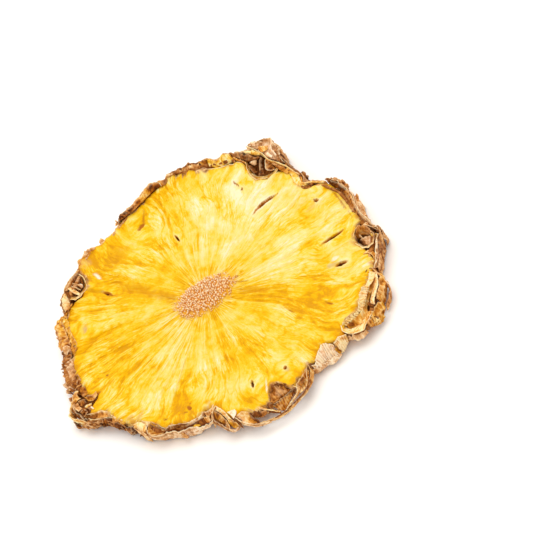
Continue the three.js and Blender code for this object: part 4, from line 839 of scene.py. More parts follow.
def flesh_look(x, y, radius, degrees, edge):
    """Relief in millimetres and the colour values at each point of the flesh's upper face.

    Each value is a sum of noises, waves and spots that fade by smooth, bell or hump. Paleness is
    0.5 on the whole; the others are masks that are 0 where the flesh is plain.
    """
    reach = np.clip(radius / FLESH_RADIUS, 0.0, 1.0)
    inward = edge - radius
    oval = core_oval(x, y)
    fibre = fibre_angle(x, y, radius, degrees)
    across_x, across_y = np.cos(fibre), np.sin(fibre)
    strand, thread, hair, tuck, dashes = (
        noise(across_x * fine + shift, across_y * fine + shift, radius / long, seed)
        for fine, shift, long, seed in FIBRE_NOISES
    )
    tuck = tuck * smooth(6.5, 0.5, inward)
    broad = rough_noise(x / 12.0 + 7, y / 12.0 + 7, 0.0, 44)
    dapple = rough_noise(x / 3.6, y / 3.6, 3.0, 45, 2)
    fibrous = 0.3 + 0.9 * smooth(-0.4, 0.5, rough_noise(x / 6.0 + 3, y / 6.0, 6.0, 54, 2))
    fibrous = fibrous + (1.0 - fibrous) * smooth(14.0, 7.0, radius)

    # The relief grows out of the level round the core, and is pleated at the rim.
    relief = 0.28 * strand + 0.20 * thread + 0.06 * hair + 0.26 * broad + 0.18 * dapple * reach
    relief = relief * smooth(3.0, 26.0, radius) + 0.30 * tuck

    # The fibres and broad patches, the sectors between the creases, a deeper core and rim, and the
    # dashes that run out of the core.
    sector = sum(tint * bell(angle_from(degrees, at), half * 1.25) for at, half, _, tint in CREASES)
    pale = 0.5 + 0.26 * broad + 0.17 * strand + fibrous * (0.17 * thread + 0.08 * hair) + 0.17 * dapple
    pale = pale + sector * (0.45 + 0.55 * smooth(6.0, 22.0, radius))
    pale = pale - 0.10 * (1.0 - smooth(5.0, 12.0, radius)) - 0.10 * (1.0 - smooth(0.0, 6.0, inward))
    pale = pale + 0.18 * tuck + 0.35 * dashes * bell(oval - 1.35, 0.6)
    for spot_x, spot_y, size, tint in PATCHES:
        pale = pale + tint * hump(np.hypot(x - spot_x, y - spot_y), size)

    # Whorls are faint rings round a paler middle.
    for spot_x, spot_y, size in WHORLS:
        away = np.hypot(x - spot_x, y - spot_y)
        rings = np.cos(2.0 * np.pi * away / (0.45 * size)) * hump(away, size)
        relief = relief + 0.05 * rings
        pale = pale + 0.03 * rings + 0.12 * hump(away, size)

    # Slits sink between raised cheeks, painted paler as a highlight, and are burnt round the edge.
    pit, burn = np.zeros(x.shape), np.zeros(x.shape)
    jagged = 0.30 * noise(x / 0.55, y / 0.55, 1.0, 46)
    for *spot, deep, dark in SLITS:
        away = in_oval(x, y, *spot)
        inside = 1.0 - smooth(0.55, 1.25, away + jagged)
        cheek = hump(away - 2.0, 0.7)
        relief = relief - deep * inside + 0.16 * cheek
        pale = pale + 0.15 * cheek
        pit = np.maximum(pit, dark * inside)
        burn = np.maximum(burn, 1.0 - smooth(0.9, 1.9, away + jagged))

    tints = {kind: np.zeros(x.shape) for kind in STAINS}
    ragged = 0.45 * noise(x / 1.1, y / 1.1, 2.0, 47)
    for kind, spots in STAINS.items():
        for *spot, strength in spots:
            stain = strength * (1.0 - smooth(0.35, 1.35, in_oval(x, y, *spot) + ragged))
            tints[kind] = np.maximum(tints[kind], stain)
    relief = relief - 0.35 * tints["brown"] - 0.2 * tints["thin"]

    fuzz, bitten = np.zeros(x.shape), 0.5 * noise(across_x * 50, across_y * 50, 0.5, 40)
    for at, half, width, strength in BROWNING:
        near = 1.0 - smooth(0.15 * width, width, inward + width * bitten)
        fuzz = np.maximum(fuzz, strength * near * smooth(0.0, 0.5, bell(angle_from(degrees, at), half)))
    return relief, {
        **tints,
        "pale": pale,
        "pit": pit,
        "brown": np.maximum(tints["brown"], 0.8 * burn),
        "rim": 1.0 - smooth(0.0, 1.4, inward + 0.7 * noise(x / 1.6, y / 1.6, 4.0, 48)),
        "fuzz": fuzz,
        "core": 1.0 - smooth(0.62, 1.28, oval + 0.16 * rough_noise(x / 1.3, y / 1.3, 5.0, 51, 2)),
        "fibre": np.stack([across_x, across_y, radius * 0.0028 + 0.08 * (radius / CELL_RADIUS) ** 2], -1),
        "cell": np.stack([across_x, across_y, 0.42 * np.log(np.maximum(radius, 1.0) / CELL_RADIUS)], -1),
        "wide": smooth(8.0, 34.0, radius),
        "fibrous": fibrous,
    }


def build_flesh(material, thick):
    """The flesh: a polar grid out to the bitten edge, rolled over the edge and back underneath.

    Upper face: height = plain_flesh + relief. Edge: half a circle of the flesh's thickness that
    bulges outwards, brown as the skin. Underside: the plain upper face less the thickness,
    without relief, brought down to the table under the core.
    """
    degrees = np.arange(ROUND_FLESH) * FULL_TURN / ROUND_FLESH
    edge = flesh_edge(degrees)
    part = (np.arange(1, ROWS_FLESH_TOP + 1) / ROWS_FLESH_TOP) ** 0.85
    radius = part[:, None] * edge[None, :]
    turn = np.broadcast_to(degrees, radius.shape)
    relief, look = flesh_look(*around(radius, turn), radius, turn, edge)
    roll = EDGE_ROLL * (1.0 - smooth(0.0, 1.0, edge - radius)) ** 2
    top = plain_flesh(radius, turn) + relief - roll

    swing = np.pi * np.arange(1, ROWS_FLESH_EDGE + 1)[:, None] / (ROWS_FLESH_EDGE + 1)
    rim_top, rim_low = top[-1], np.maximum(top[-1] - thick, FLESH_LEAST)
    middle, half = (rim_top + rim_low) / 2, (rim_top - rim_low) / 2
    side_radius = edge + EDGE_ROLL * np.sin(swing)
    side_height = middle + half * np.cos(swing)

    back = 1.0 - np.arange(ROWS_FLESH_UNDER)[:, None] / ROWS_FLESH_UNDER
    low_radius = back * edge
    low_turn = np.broadcast_to(degrees, low_radius.shape)
    heel = smooth(CORE_HEEL, CORE_HEEL + HEEL_SLOPE, low_radius)
    low_height = np.maximum(plain_flesh(low_radius, low_turn) - thick, FLESH_LEAST) * heel
    low_look = flesh_look(*around(low_radius, low_turn), low_radius, low_turn, edge)[1]

    radii = np.concatenate([radius, side_radius, low_radius])
    heights = np.concatenate([top, side_height, low_height])
    grid = np.stack([*around(radii, np.broadcast_to(degrees, radii.shape)), heights], -1)
    points = np.concatenate([grid.reshape(-1, 3), [top[0].mean() * UP, 0.0 * UP]])
    faces = [face for faces in closed_faces(*radii.shape) for face in faces.tolist()]

    attributes = {}
    for label, values in look.items():
        side = np.repeat(values[-1:], ROWS_FLESH_EDGE, axis=0)
        if label == "fuzz":
            side = side + smooth(0.2, np.pi / 2, swing)
        joined = np.concatenate([values, side, low_look[label]])
        flat = joined.reshape(-1, *values.shape[2:])
        attributes[label] = np.concatenate([flat, flat[:1], flat[-1:]])
    make_piece("flesh", points, faces, attributes, material)


# ---- Rind


def rind_section(degrees):
    """The section of the skin's body at each angle, as rows of radius, height, wall and painted shade,
    which darkens the groove's inner side and floor.

    Wall: between foot and lip, bulging to its widest at the waist. Crest: a half round. Inner:
    down to the groove. Floor: inwards to under the flesh's edge. Under: back to the foot.
    """
    foot, flesh = foot_height(degrees), flesh_edge(degrees)
    edge = np.maximum(ring_edge(degrees), flesh - 0.6)
    lip = LIP(degrees) + 0.4 * rim_noise(degrees, 2.4, 21)
    crest_in = np.minimum(edge - 0.9, np.maximum(edge - 1.4, flesh + 0.1))
    floor = np.minimum(GUTTER_FLOOR, lip - 0.3) + 0.3 * rim_noise(degrees, 2.0, 23)
    end, low = flesh - 1.6, np.maximum(floor - 1.2, 0.3)
    rows = []
    for zone, count in RIND_ZONES.items():
        step = (np.arange(count) / count)[:, None]
        outer, turn = edge - 0.25, np.pi * step
        section = {
            "wall": (edge - 1.1 * (1.0 - step) ** 2 - 0.25 * step**3, foot + (lip - foot) * step, 1.0, 0.0),
            "crest": (
                (outer + crest_in) / 2 + (outer - crest_in) / 2 * np.cos(turn),
                lip + 0.3 * np.sin(turn),
                0.6 - 0.4 * step,
                0.35 * step,
            ),
            "inner": (crest_in - 0.1 * step, lip + (floor - lip) * step, 0.0, 0.35 + 0.65 * step),
            "floor": (crest_in - 0.1 + (end - crest_in + 0.1) * step, floor, 0.0, 1.0),
            "under": (
                end + (edge - 1.1 - end) * step,
                low + (foot - low) * smooth(0.0, 0.55, step),
                0.3,
                0.0,
            ),
        }[zone]
        rows.append(np.stack(np.broadcast_arrays(*section, degrees)))
    return np.concatenate(rows, axis=1)


def build_rind(material):
    """The skin's body: its section carried round the slice, then crinkled.

    The crinkle moves the wall outwards and the groove's floor upwards by noise that is drawn out
    up the wall.
    """
    degrees = np.arange(ROUND_RIND) * FULL_TURN / ROUND_RIND
    radius, height, wall, hollow, turn = rind_section(degrees)
    ring_x, ring_y = around(RIM_RADIUS, turn)
    pleat = rough_noise(ring_x / 1.5, ring_y / 1.5, height / 4.5, 71)
    ridge = 1.0 - 2.0 * np.abs(rough_noise(ring_x / 2.6, ring_y / 2.6, height / 1.3, 72))
    lumps = rough_noise(ring_x / 1.3, ring_y / 1.3, radius / 1.3, 73)
    radius = radius + wall * (0.45 * pleat + 0.35 * ridge)
    height = height + np.where(height > 1.0, (1.0 - wall) * 0.5 * lumps, 0.0)
    height = np.maximum(height, foot_height(turn))
    points = np.stack([*around(radius, turn), height], -1).reshape(-1, 3)
    faces = ring_faces(*radius.shape, rows_close=True)[:, ::-1]
    blotch = rough_noise(ring_x / 3.0, ring_y / 3.0, height / 3.0, 74)
    attributes = {
        "tone": np.clip(TONE(turn) + 0.3 * blotch, 0, 1).ravel(),
        "warm": np.clip(0.5 + 0.5 * pleat, 0, 1).ravel(),
        "crest": np.zeros(radius.size),
        # painted shade that darkens the groove between flesh and skin
        "hollow": hollow.ravel(),
        "along": np.stack([ring_x, ring_y, height * 0.3], -1).reshape(-1, 3),
    }
    make_piece("rind", points, faces.tolist(), attributes, material)


# ---- Papery folds and lumps


def curve_through(points, count):
    """A smooth curve through the points, sampled evenly by chord length: Hermite pieces whose
    tangents are the mean slopes on either side of each point."""
    points = np.array(points, float)
    at = np.concatenate([[0.0], np.cumsum(np.linalg.norm(np.diff(points, axis=0), axis=1))])
    slope = np.gradient(points, at, axis=0)
    place = np.linspace(0.0, at[-1], count)
    i = np.clip(np.searchsorted(at, place, side="right") - 1, 0, len(at) - 2)
    span = (at[i + 1] - at[i])[:, None]
    t = ((place - at[i])[:, None]) / span
    start = (2 * t**3 - 3 * t**2 + 1) * points[i] + (t**3 - 2 * t**2 + t) * span * slope[i]
    return start + (3 * t**2 - 2 * t**3) * points[i + 1] + (t**3 - t**2) * span * slope[i + 1]


def spread_along(values, count):
    """One value, or several spaced evenly along the length, at `count` places."""
    values = np.atleast_1d(np.array(values, float))
    return np.interp(np.linspace(0.0, 1.0, count), np.linspace(0.0, 1.0, len(values)), values)


def sheet_faces(rows, columns):
    """Quads of a thin closed sheet: a front grid, a back grid, and the strips that join them."""
    front = np.arange(rows * columns).reshape(rows, columns)
    back = front + rows * columns
    loop = np.concatenate([front[0, :-1], front[:-1, -1], front[-1, :0:-1], front[:0:-1, 0]])
    after = np.roll(loop, -1)
    quads = [
        np.stack([front[:-1, :-1], front[1:, :-1], front[1:, 1:], front[:-1, 1:]], -1).reshape(-1, 4),
        np.stack([back[:-1, :-1], back[:-1, 1:], back[1:, 1:], back[1:, :-1]], -1).reshape(-1, 4),
        np.stack([loop, after, after + rows * columns, loop + rows * columns], -1),
    ]
    return np.concatenate(quads)


def crumpled(x, y, z, seed):
    """Crumpled paper, -1 to 1: noise folded at zero so that it has sharp creases, at two sizes,
    over places that a slower noise has moved about."""
    moved_x = x + 0.9 * noise(x / 2.6, y / 2.6, z / 2.6, seed + 3)
    moved_y = y + 0.9 * noise(x / 2.6 + 31, y / 2.6, z / 2.6, seed + 4)
    large = 1.0 - 2.0 * np.abs(noise(moved_x / 2.1, moved_y / 2.1, z / 2.1, seed))
    small = 1.0 - 2.0 * np.abs(noise(moved_x / 0.8, moved_y / 0.8, z / 0.8, seed + 1))
    return 0.62 * large + 0.38 * small


def read_sheets(table):
    """The table's rows, each as a dictionary of numbers, lists of numbers and points."""
    sheets = []
    for row in table.replace("\n    ", " ").splitlines():
        if not row or row.startswith("#"):
            continue
        fields = [field.split() for field in row.split("|")]
        named = {name: words for name, *words in fields[len(SHEET_FIELDS) :]}
        named.update(zip(SHEET_FIELDS, fields))
        sheet = {name: [float(word) for word in words] for name, words in named.items()}
        sheet = {name: values if len(values) > 1 else values[0] for name, values in sheet.items()}
        for line in ("crest", "foot"):
            if np.ndim(sheet[line]):
                sheet[line] = np.reshape(sheet[line], (-1, 2))
        sheets.append(sheet)
    return sheets


SHEETS = read_sheets(SHEET_TABLE)


def sheet_lines(sheet):
    """A sheet's crest and foot lines, in place."""

    def raised(points, heights):
        points = np.array(points, float)
        return placed(np.column_stack([points, spread_along(heights, len(points))]))

    crest = raised(sheet["crest"], sheet["high"])
    if np.ndim(sheet["foot"]):
        return crest, raised(sheet["foot"], sheet["low"])
    away = crest[:, :2] / np.linalg.norm(crest[:, :2], axis=1)[:, None]
    foot = crest[:, :2] + sheet["foot"] * away
    return crest, np.column_stack([foot, spread_along(sheet["low"], len(crest))])


def sheet_grid(crest, foot, sheet, seed):
    """One papery sheet's points and values.

    It is ruled from crest to foot: P(u, v) = crest(u) (1 - v) + foot(u) v, bulged by
    bow sin(pi v) along its normal, then moved along the normal by crumples (folded noise in
    place), pleats (noise that varies along the length only) and ribs, |sin(pi (count u + noise))|
    of the length. An outer wall also buckles below its crest, by larger crumples. The back is the
    front moved in by the thickness, which thins to a third at the edges.
    """
    length = np.linalg.norm(np.diff(crest, axis=0), axis=1).sum()
    drop = np.linalg.norm(curve_through(crest, 9) - curve_through(foot, 9), axis=1).mean()
    rows = int(np.clip(length / SHEET_STEP[0], 8, 190)) + 1
    columns = int(np.clip(drop / SHEET_STEP[1], 5, 26)) + 1
    u, v = np.linspace(0.0, 1.0, rows)[:, None], np.linspace(0.0, 1.0, columns)[None, :]
    top, low = curve_through(crest, rows), curve_through(foot, rows)
    place = top[:, None] * (1.0 - v[..., None]) + low[:, None] * v[..., None]
    normal = np.cross(np.gradient(place, axis=0), np.gradient(place, axis=1))
    normal /= np.linalg.norm(normal, axis=-1, keepdims=True) + 1e-9
    outwards = place[..., :2] / np.linalg.norm(place[..., :2], axis=-1, keepdims=True)
    faces_out = (normal[..., :2] * outwards).sum(-1).mean() + 0.6 * normal[..., 2].mean() > 0
    if not faces_out:
        normal = -normal

    sheet = {**SHEET_DEFAULTS, **sheet}
    x, y, z = np.moveaxis(place, -1, 0)
    crumple = crumpled(x, y, z, seed)
    run = u * length + 0.0 * v
    pleat = noise(run / 0.55, v * 0.9, 0.0, seed + 2) * np.sin(np.pi * np.clip(v * 1.2, 0, 1)) ** 0.5
    rough, pleats = sheet["rough"], sheet["pleat"]
    push = rough * (crumple - 0.3) + 1.6 * pleats * pleat
    push = push + sheet["bow"] * np.sin(np.pi * v)
    folds, fold_height = sheet["ribs"]
    drift = 0.7 * noise(run / 2.2, v * 1.6, 0.5, seed + 6)
    rib = np.abs(np.sin(np.pi * (folds * u + drift))) ** 0.8 if fold_height else 0.5 + 0.0 * run
    push = push + fold_height * (rib - 0.5)
    if sheet["wall"]:
        buckle = crumpled(x / 2.2, y / 2.2, z / 3.4, seed + 8)
        push = push + WALL_BUCKLE * (buckle - 0.2) * smooth(0.08, 0.45, v)
        crumple = 0.55 * crumple + 0.6 * buckle
    front = place + normal * push[..., None]
    spikes = (rough + 0.14) * noise(run / 0.6, 0.5, 0.0, seed + 3) + 0.8 * fold_height * (rib - 0.5)
    front[..., 2] += spikes * (1.0 - v) ** 2
    front[..., 2] = np.maximum(front[..., 2], SHEET_LEAST[0])
    border = np.minimum(np.minimum(u, 1.0 - u) * length, np.minimum(v, 1.0 - v) * drop)
    thick = sheet["thick"] * (0.3 + 0.7 * smooth(0.0, 0.45, border))
    back = front - normal * thick[..., None]
    back[..., 2] = np.maximum(back[..., 2], SHEET_LEAST[1])

    near_top, near_low = sheet["shade"]
    down = v * drop
    # The crest's cut edge is cream of its own; the crumples' ridges get cream as painted highlights.
    cream = 0.95 * sheet["edge"] * hump(down, 0.26) * (0.85 + 0.4 * crumple)
    ridges = 0.5 * smooth(0.45, 0.9, crumple) * (0.4 + sheet["edge"] * 0.6)
    # Painted shade: from the shade field, deeper in the ribs' valleys and the crumples' hollows.
    hollow = near_top + (near_low - near_top) * v**0.8 + 0.0 * u
    # The tone is paler, as painted highlight, where crumples, pleats and ribs stand out.
    tone = spread_along(sheet["tone"], rows)[:, None] - 0.24 * crumple - min(pleats * 2.2, 0.5) * pleat
    if fold_height:
        tone = tone - 0.22 * (rib - 0.5)
        hollow = hollow + 0.4 * (1.0 - rib) ** 3
    tone = tone + 0.22 * sheet["edge"] * hump(down - 0.7, 0.4)
    values = {
        "tone": np.clip(tone + 0.03, 0, 1),
        "warm": np.clip(spread_along(sheet["warm"], rows)[:, None] + 0.25 * pleat, 0, 2),
        "crest": np.clip(np.maximum(cream, ridges), 0, 1),
        "hollow": np.clip(hollow + 0.5 * smooth(-0.2, -0.7, crumple), 0, 1),
        "along": np.stack([run, v * drop * 0.45 + 0.0 * u, np.full(run.shape, seed * 3.7)], -1),
    }
    faces = sheet_faces(rows, columns)
    if not faces_out:
        faces = faces[:, ::-1]
    both = {k: np.concatenate([w.reshape(-1, *w.shape[2:])] * 2) for k, w in values.items()}
    both["crest"][rows * columns :] *= 0.6
    return np.concatenate([front.reshape(-1, 3), back.reshape(-1, 3)]), [faces], both


def make_joined(name, parts, material):
    """Makes one piece of skin from parts that each have points, arrays of faces and values."""
    points, face_arrays, values = zip(*parts)
    faces, count = [], 0
    for part, arrays in zip(points, face_arrays):
        for array in arrays:
            faces += (array + count).tolist()
        count += len(part)
    joined = {label: np.concatenate([value[label] for value in values]) for label in values[0]}
    make_piece(name, np.concatenate(points), faces, joined, material)


def build_folds(material):
    """The papery folds of the rim, a quarter at a time: skin, bracts and the walls of the eyes."""
    grids = {name: [] for name in QUARTERS}
    for i, sheet in enumerate(SHEETS):
        crest, foot = sheet_lines(sheet)
        x, y, _ = crest.mean(axis=0)
        at = (degrees_of(x, y) + 45.0) % FULL_TURN - 45.0
        name = [name for name, start in QUARTERS.items() if start <= at][-1]
        wall = not np.ndim(sheet["foot"]) and sheet["foot"] >= WALL_LEAST
        grids[name].append(sheet_grid(crest, foot, {**sheet, "wall": wall}, 200 + 5 * i))
    for name, parts in grids.items():
        make_joined(f"{name}_folds", parts, material)


def rim_reach():
    """The radius of the rim's outermost sheet at each whole degree."""
    reach = ring_edge(np.arange(FULL_TURN))
    for line in itertools.chain.from_iterable(sheet_lines(sheet) for sheet in SHEETS):
        x, y, _ = curve_through(line, 60).T
        np.maximum.at(reach, degrees_of(x, y).astype(int) % len(reach), np.hypot(x, y))
    return reach


def build_scraps(material):
    """Small crumpled scraps of bract that stand out of the rim's outer wall.

    Each is a little sheet whose foot lies on the wall and whose crest leans out and up from it.
    """
    draw = np.random.default_rng(19)
    reach = rim_reach()
    parts = []
    while len(parts) < SCRAPS:
        at, lift = draw.uniform(0.0, FULL_TURN), draw.uniform(0.1, 0.85)
        long, tall, lean, tilt = draw.uniform(SCRAP_LEAST, SCRAP_MOST)
        tone, warm = draw.uniform(-0.25, 0.25), draw.uniform(0.1, 1.2)
        if NO_SCRAPS[0] < at < NO_SCRAPS[1]:
            continue
        out = np.array([*around(1.0, at), 0.0])
        along = np.array([-out[1], out[0], 0.0])
        foot_z, lip_z = foot_height(at), LIP(at)
        wall = ring_edge(at) - 0.5 if LOW_SCRAPS[0] < at < LOW_SCRAPS[1] else reach[int(at)] - 0.75
        base = out * wall + UP * (foot_z + 0.3 + (lip_z - foot_z - 0.8) * lift)
        run = along * np.cos(tilt) + UP * np.sin(tilt)
        rise = out * lean + UP * (1.0 - 0.5 * lean)
        bend = np.array([-0.12, 0.05, 0.1, -0.05])[:, None] * out
        step = np.array([-0.5, -0.17, 0.17, 0.5])[:, None]
        foot = base + step * long * run + bend
        crest = foot + tall * rise - step * 0.4 * long * run
        tone = np.clip(TONE(at) + tone, 0.1, 0.95)
        look = {"tone": tone, "warm": warm, "edge": 0.6, "rough": 0.3, "thick": 0.3}
        parts.append(sheet_grid(crest, foot, look, 2000 + 7 * len(parts)))
    make_joined("bract_scraps", parts, material)


def lump_grid(lump, seed):
    """One lump: an ellipsoid whose surface is moved in and out by noise and by fine ridges."""
    *middle, long, wide, high, turn, tone, warm, rough = lump
    middle = placed([middle])[0]
    tilt = np.linspace(0.0, np.pi, LUMP_ROWS)[1:-1, None]
    round_ = (np.arange(LUMP_SIDES) * 2.0 * np.pi / LUMP_SIDES)[None, :]
    level = np.stack([np.cos(round_), np.sin(round_), 0.0 * round_], -1)
    way = np.sin(tilt)[..., None] * level + np.cos(tilt)[..., None] * UP
    way = np.concatenate([way.reshape(-1, 3), [UP, -UP]])
    x, y, z = (way * (long, wide, high)).T
    bumps = rough_noise(x / 1.2, y / 1.2, z / 1.2, seed)
    ridges = crumpled(x * 0.7, y * 1.5, z * 1.1, seed + 1)
    size = 1.0 + rough * (0.75 * bumps + 0.35 * ridges)
    c, s = around(1.0, turn)
    px, py, pz = x * size, y * size, z * size
    points = np.stack([px * c - py * s, px * s + py * c, pz], -1) + middle
    points[:, 2] = np.maximum(points[:, 2], LUMP_LEAST)
    # Painted light that follows the ridges: paler tone and cream highlights on top, painted shade between.
    values = {
        "tone": np.clip(tone + 0.12 - 0.28 * ridges, 0, 1),
        "warm": np.clip(warm + 0.3 * bumps, 0, 2),
        "crest": np.clip(0.7 * smooth(0.5, 0.95, ridges), 0, 1),
        "hollow": np.clip(0.9 * smooth(0.0, -0.6, ridges), 0, 1),
        "along": np.stack([px, py * 0.5, pz + seed * 3.7], -1),
    }
    return points, closed_faces(LUMP_ROWS - 2, LUMP_SIDES), values


def build_lumps(material):
    """Lumps of dried skin at the rim."""
    parts = [lump_grid(lump, 900 + 7 * i) for i, lump in enumerate(LUMPS)]
    make_joined("skin_lumps", parts, material)


# ---- Core fibres


def build_core(material, plain_height):
    """Cut fibre ends: short round-topped pegs on the core's oval, evenly packed in the middle and
    thinning out past its edge, each leaning a little away from the middle.

    Their feet are a lattice of triangles shaken by a third of its step. A peg is a circle carried
    up its height h: radius = half width * (1 - 0.75 h^4), bent outwards by its lean times h.
    """
    draw = np.random.default_rng(7)
    reach = 1.5 * CORE_HALF_LENGTH
    column, row = (np.arange(-1.0, 1.0, step / reach) * reach for step in (PEG_STEP, PEG_ROW_STEP))
    x, y = (place.ravel() for place in np.meshgrid(column, row))
    x = x + PEG_STEP / 2 * (np.round(y / PEG_ROW_STEP) % 2)
    x, y = (place + draw.uniform(-PEG_SHAKE, PEG_SHAKE, x.shape) * PEG_STEP for place in (x, y))
    out = core_oval(x, y)
    out_to = out + 0.12 * noise(x / 1.5, y / 1.5, 5.0, 51)
    kept = out_to + 0.42 * draw.uniform(-0.3, 1.0, x.shape) ** 3 < 1.12
    x, y, out = x[kept], y[kept], out[kept]
    count, angle = len(x), draw.uniform(0.0, 2.0 * np.pi, kept.sum())
    base = plain_flesh(np.hypot(x, y), degrees_of(x, y)) - 0.4
    inner = 1.0 - smooth(0.75, 1.3, out)
    half = draw.uniform(*PEG_HALF_WIDTH, count) * (0.7 + 0.3 * inner)
    tall = (plain_height + draw.uniform(*PEG_EXTRA_HEIGHT, count)) * (0.55 + 0.45 * inner)
    lean = draw.normal(0.0, 0.14, (count, 2)) + np.stack([x, y], -1) * 0.025

    step = np.linspace(0.0, 1.0, PEG_RINGS)[None, :, None]
    side = (np.arange(PEG_SIDES) * 2.0 * np.pi / PEG_SIDES)[None, None, :]
    lean_x, lean_y = lean.T
    x, y, base, tall, half, angle, lean_x, lean_y = (
        values[:, None, None] for values in (x, y, base, tall, half, angle, lean_x, lean_y)
    )
    width = half * (1.0 - 0.75 * step**4) * (1.0 + 0.18 * np.cos(2.0 * side + angle))
    px = x + lean_x * step + width * np.cos(side)
    py = y + lean_y * step + width * np.sin(side)
    pz = np.broadcast_to(base + tall * step, px.shape)
    grid = np.stack([px, py, pz], -1).reshape(-1, 3)

    per_peg = PEG_RINGS * PEG_SIDES
    one = ring_faces(PEG_RINGS, PEG_SIDES)[:, ::-1]
    starts = (np.arange(count) * per_peg)[:, None, None]
    faces = (starts + one[None]).reshape(-1, 4).tolist()
    bottom = (starts[:, :, 0] + np.arange(PEG_SIDES)[None, ::-1]).tolist()
    top = (starts[:, :, 0] + per_peg - PEG_SIDES + np.arange(PEG_SIDES)[None]).tolist()
    attributes = {
        "up": np.broadcast_to(step, px.shape).reshape(-1).copy(),
        "tint": np.repeat(draw.uniform(0.0, 1.0, count), per_peg),
        "fringe": np.repeat(smooth(0.85, 1.28, out), per_peg),
    }
    make_piece("core_fibres", grid, faces + bottom + top, attributes, material)


# ---- Materials


# Ramps, each as the colours and where they lie. The flesh's go with its paleness, the skin's with
# its darkness, and the painted shade's and the browned rim's with noise.
FLESH_COLOURS = (
    "d6940a e4a402 eab002 edbd20 eec84a edd06c edd684 ecda98 ece0b4",
    (0, 0.15, 0.25, 0.37, 0.5, 0.63, 0.76, 0.88, 1),
)
SKIN_STEPS = (0, 0.2, 0.42, 0.62, 0.82, 1)
COOL_SKIN = ("fbe3c8 ecc298 d09a68 aa7242 7e4a24 4c240c", SKIN_STEPS)
WARM_SKIN = ("fbe0a2 f2ba64 da9036 b66a1a 88440c 542404", SKIN_STEPS)
GOLD_SKIN = ("f8e49a f0c040 dd9c14 bc740c 8e4c08 5a2a04", SKIN_STEPS)
FUZZ_COLOURS = ("8c5c34 b98a60 ecc48a", (0.35, 0.5, 0.65))
PAINTED_SHADE_COLOURS = ("4c2008 844414 bc762c", (0.32, 0.5, 0.68))
CORE_LIT_TIPS = ("fed69a fee6b4 fff2d4", (0, 0.5, 1))
CORE_SHADED_SIDES = ("d48028 eea854", (0, 1))
FLOOR_COLOURS = ("f9f6f0 fdfaf5", (0, 1))


def srgb(text):
    """A colour written as six hexadecimal digits, as linear red, green, blue and alpha."""
    levels = np.array([int(text[i : i + 2], 16) for i in (0, 2, 4)]) / 255.0
    linear = np.where(levels <= 0.04045, levels / 12.92, ((levels + 0.055) / 1.055) ** 2.4)
    return (*linear.tolist(), 1.0)


BUMP_STRENGTH = 0.6


class Nodes:
    """Adds and wires the nodes of one material or node group."""

    def __init__(self, tree):
        self.tree = tree
        self.count = 0

    def add(self, kind, inputs=(), **settings):
        """A node with its settings, and its inputs set from values or linked from sockets."""
        node = self.tree.nodes.new(kind)
        self.count += 1
        node.location = (180 * (self.count % 8), -240 * (self.count // 8))
        for name, value in settings.items():
            setattr(node, name, value)
        for name, value in dict(inputs).items():
            self.feed(node.inputs[name], value)
        return node

    def feed(self, socket, value):
        """Links a socket from another, or sets it to a number, a vector or a colour."""
        if isinstance(value, bpy.types.NodeSocket):
            self.tree.links.new(value, socket)
        else:
            socket.default_value = srgb(value) if isinstance(value, str) else value

    def attribute(self, name, output="Fac"):
        """One of the mesh's values."""
        return self.add("ShaderNodeAttribute", attribute_name=name).outputs[output]

    def math(self, operation, *values, clamp=False):
        """One step of arithmetic."""
        inputs = enumerate(values)
        return self.add("ShaderNodeMath", inputs, operation=operation, use_clamp=clamp).outputs[0]

    def noise(self, vector, scale, detail=3.0, roughness=0.55, distortion=0.0):
        """Noise from 0 to 1."""
        names = ("Vector", "Scale", "Detail", "Roughness", "Distortion")
        inputs = zip(names, (vector, scale, detail, roughness, distortion))
        return self.add("ShaderNodeTexNoise", inputs).outputs["Fac"]

    def mix(self, factor, a, b):
        """A colour from a to b; the sockets' names are shared, so they are taken by number."""
        node = self.add("ShaderNodeMix", data_type="RGBA")
        for socket, value in zip((0, 6, 7), (factor, a, b)):
            self.feed(node.inputs[socket], value)
        return node.outputs[2]

    def ramp(self, factor, stops):
        """A colour along a ramp, from the ramp's colours and where they lie."""
        node = self.add("ShaderNodeValToRGB", {"Fac": factor})
        elements = node.color_ramp.elements
        colours, places = stops
        while len(elements) < len(places):
            elements.new(0.5)
        for element, colour, place in zip(elements, colours.split(), places):
            element.position = place
            element.color = srgb(colour)
        return node.outputs[0]

    def spread(self, value, low, high):
        """The value's part of the way from low to high, held to 0 to 1."""
        inputs = {"Value": value, "From Min": low, "From Max": high}
        return self.add("ShaderNodeMapRange", inputs, clamp=True).outputs[0]

    def pushed(self, onto, noise, amount):
        """A value moved up and down by a noise about its middle, 0.5."""
        return self.math("MULTIPLY_ADD", self.math("SUBTRACT", noise, 0.5), amount, onto)

    def product(self, *values):
        """The product of two or more values."""
        return functools.reduce(lambda a, b: self.math("MULTIPLY", a, b), values)

    def surface(self, shader, colour, height, distance):
        """Gives a shader its colour and the bumps of a height."""
        self.feed(shader.inputs["Base Color"], colour)
        inputs = {"Height": height, "Distance": distance, "Strength": BUMP_STRENGTH}
        self.feed(shader.inputs["Normal"], self.add("ShaderNodeBump", inputs).outputs[0])


def new_material(name, finish):
    """A material, its nodes and its shader, with the finish's constants set on the shader."""
    material = bpy.data.materials.new(name)
    material.use_nodes = True
    tree = material.node_tree
    tree.nodes.clear()
    nodes = Nodes(tree)
    shader = nodes.add("ShaderNodeBsdfPrincipled", finish)
    nodes.add("ShaderNodeOutputMaterial", {"Surface": shader.outputs[0]})
    return material, nodes, shader


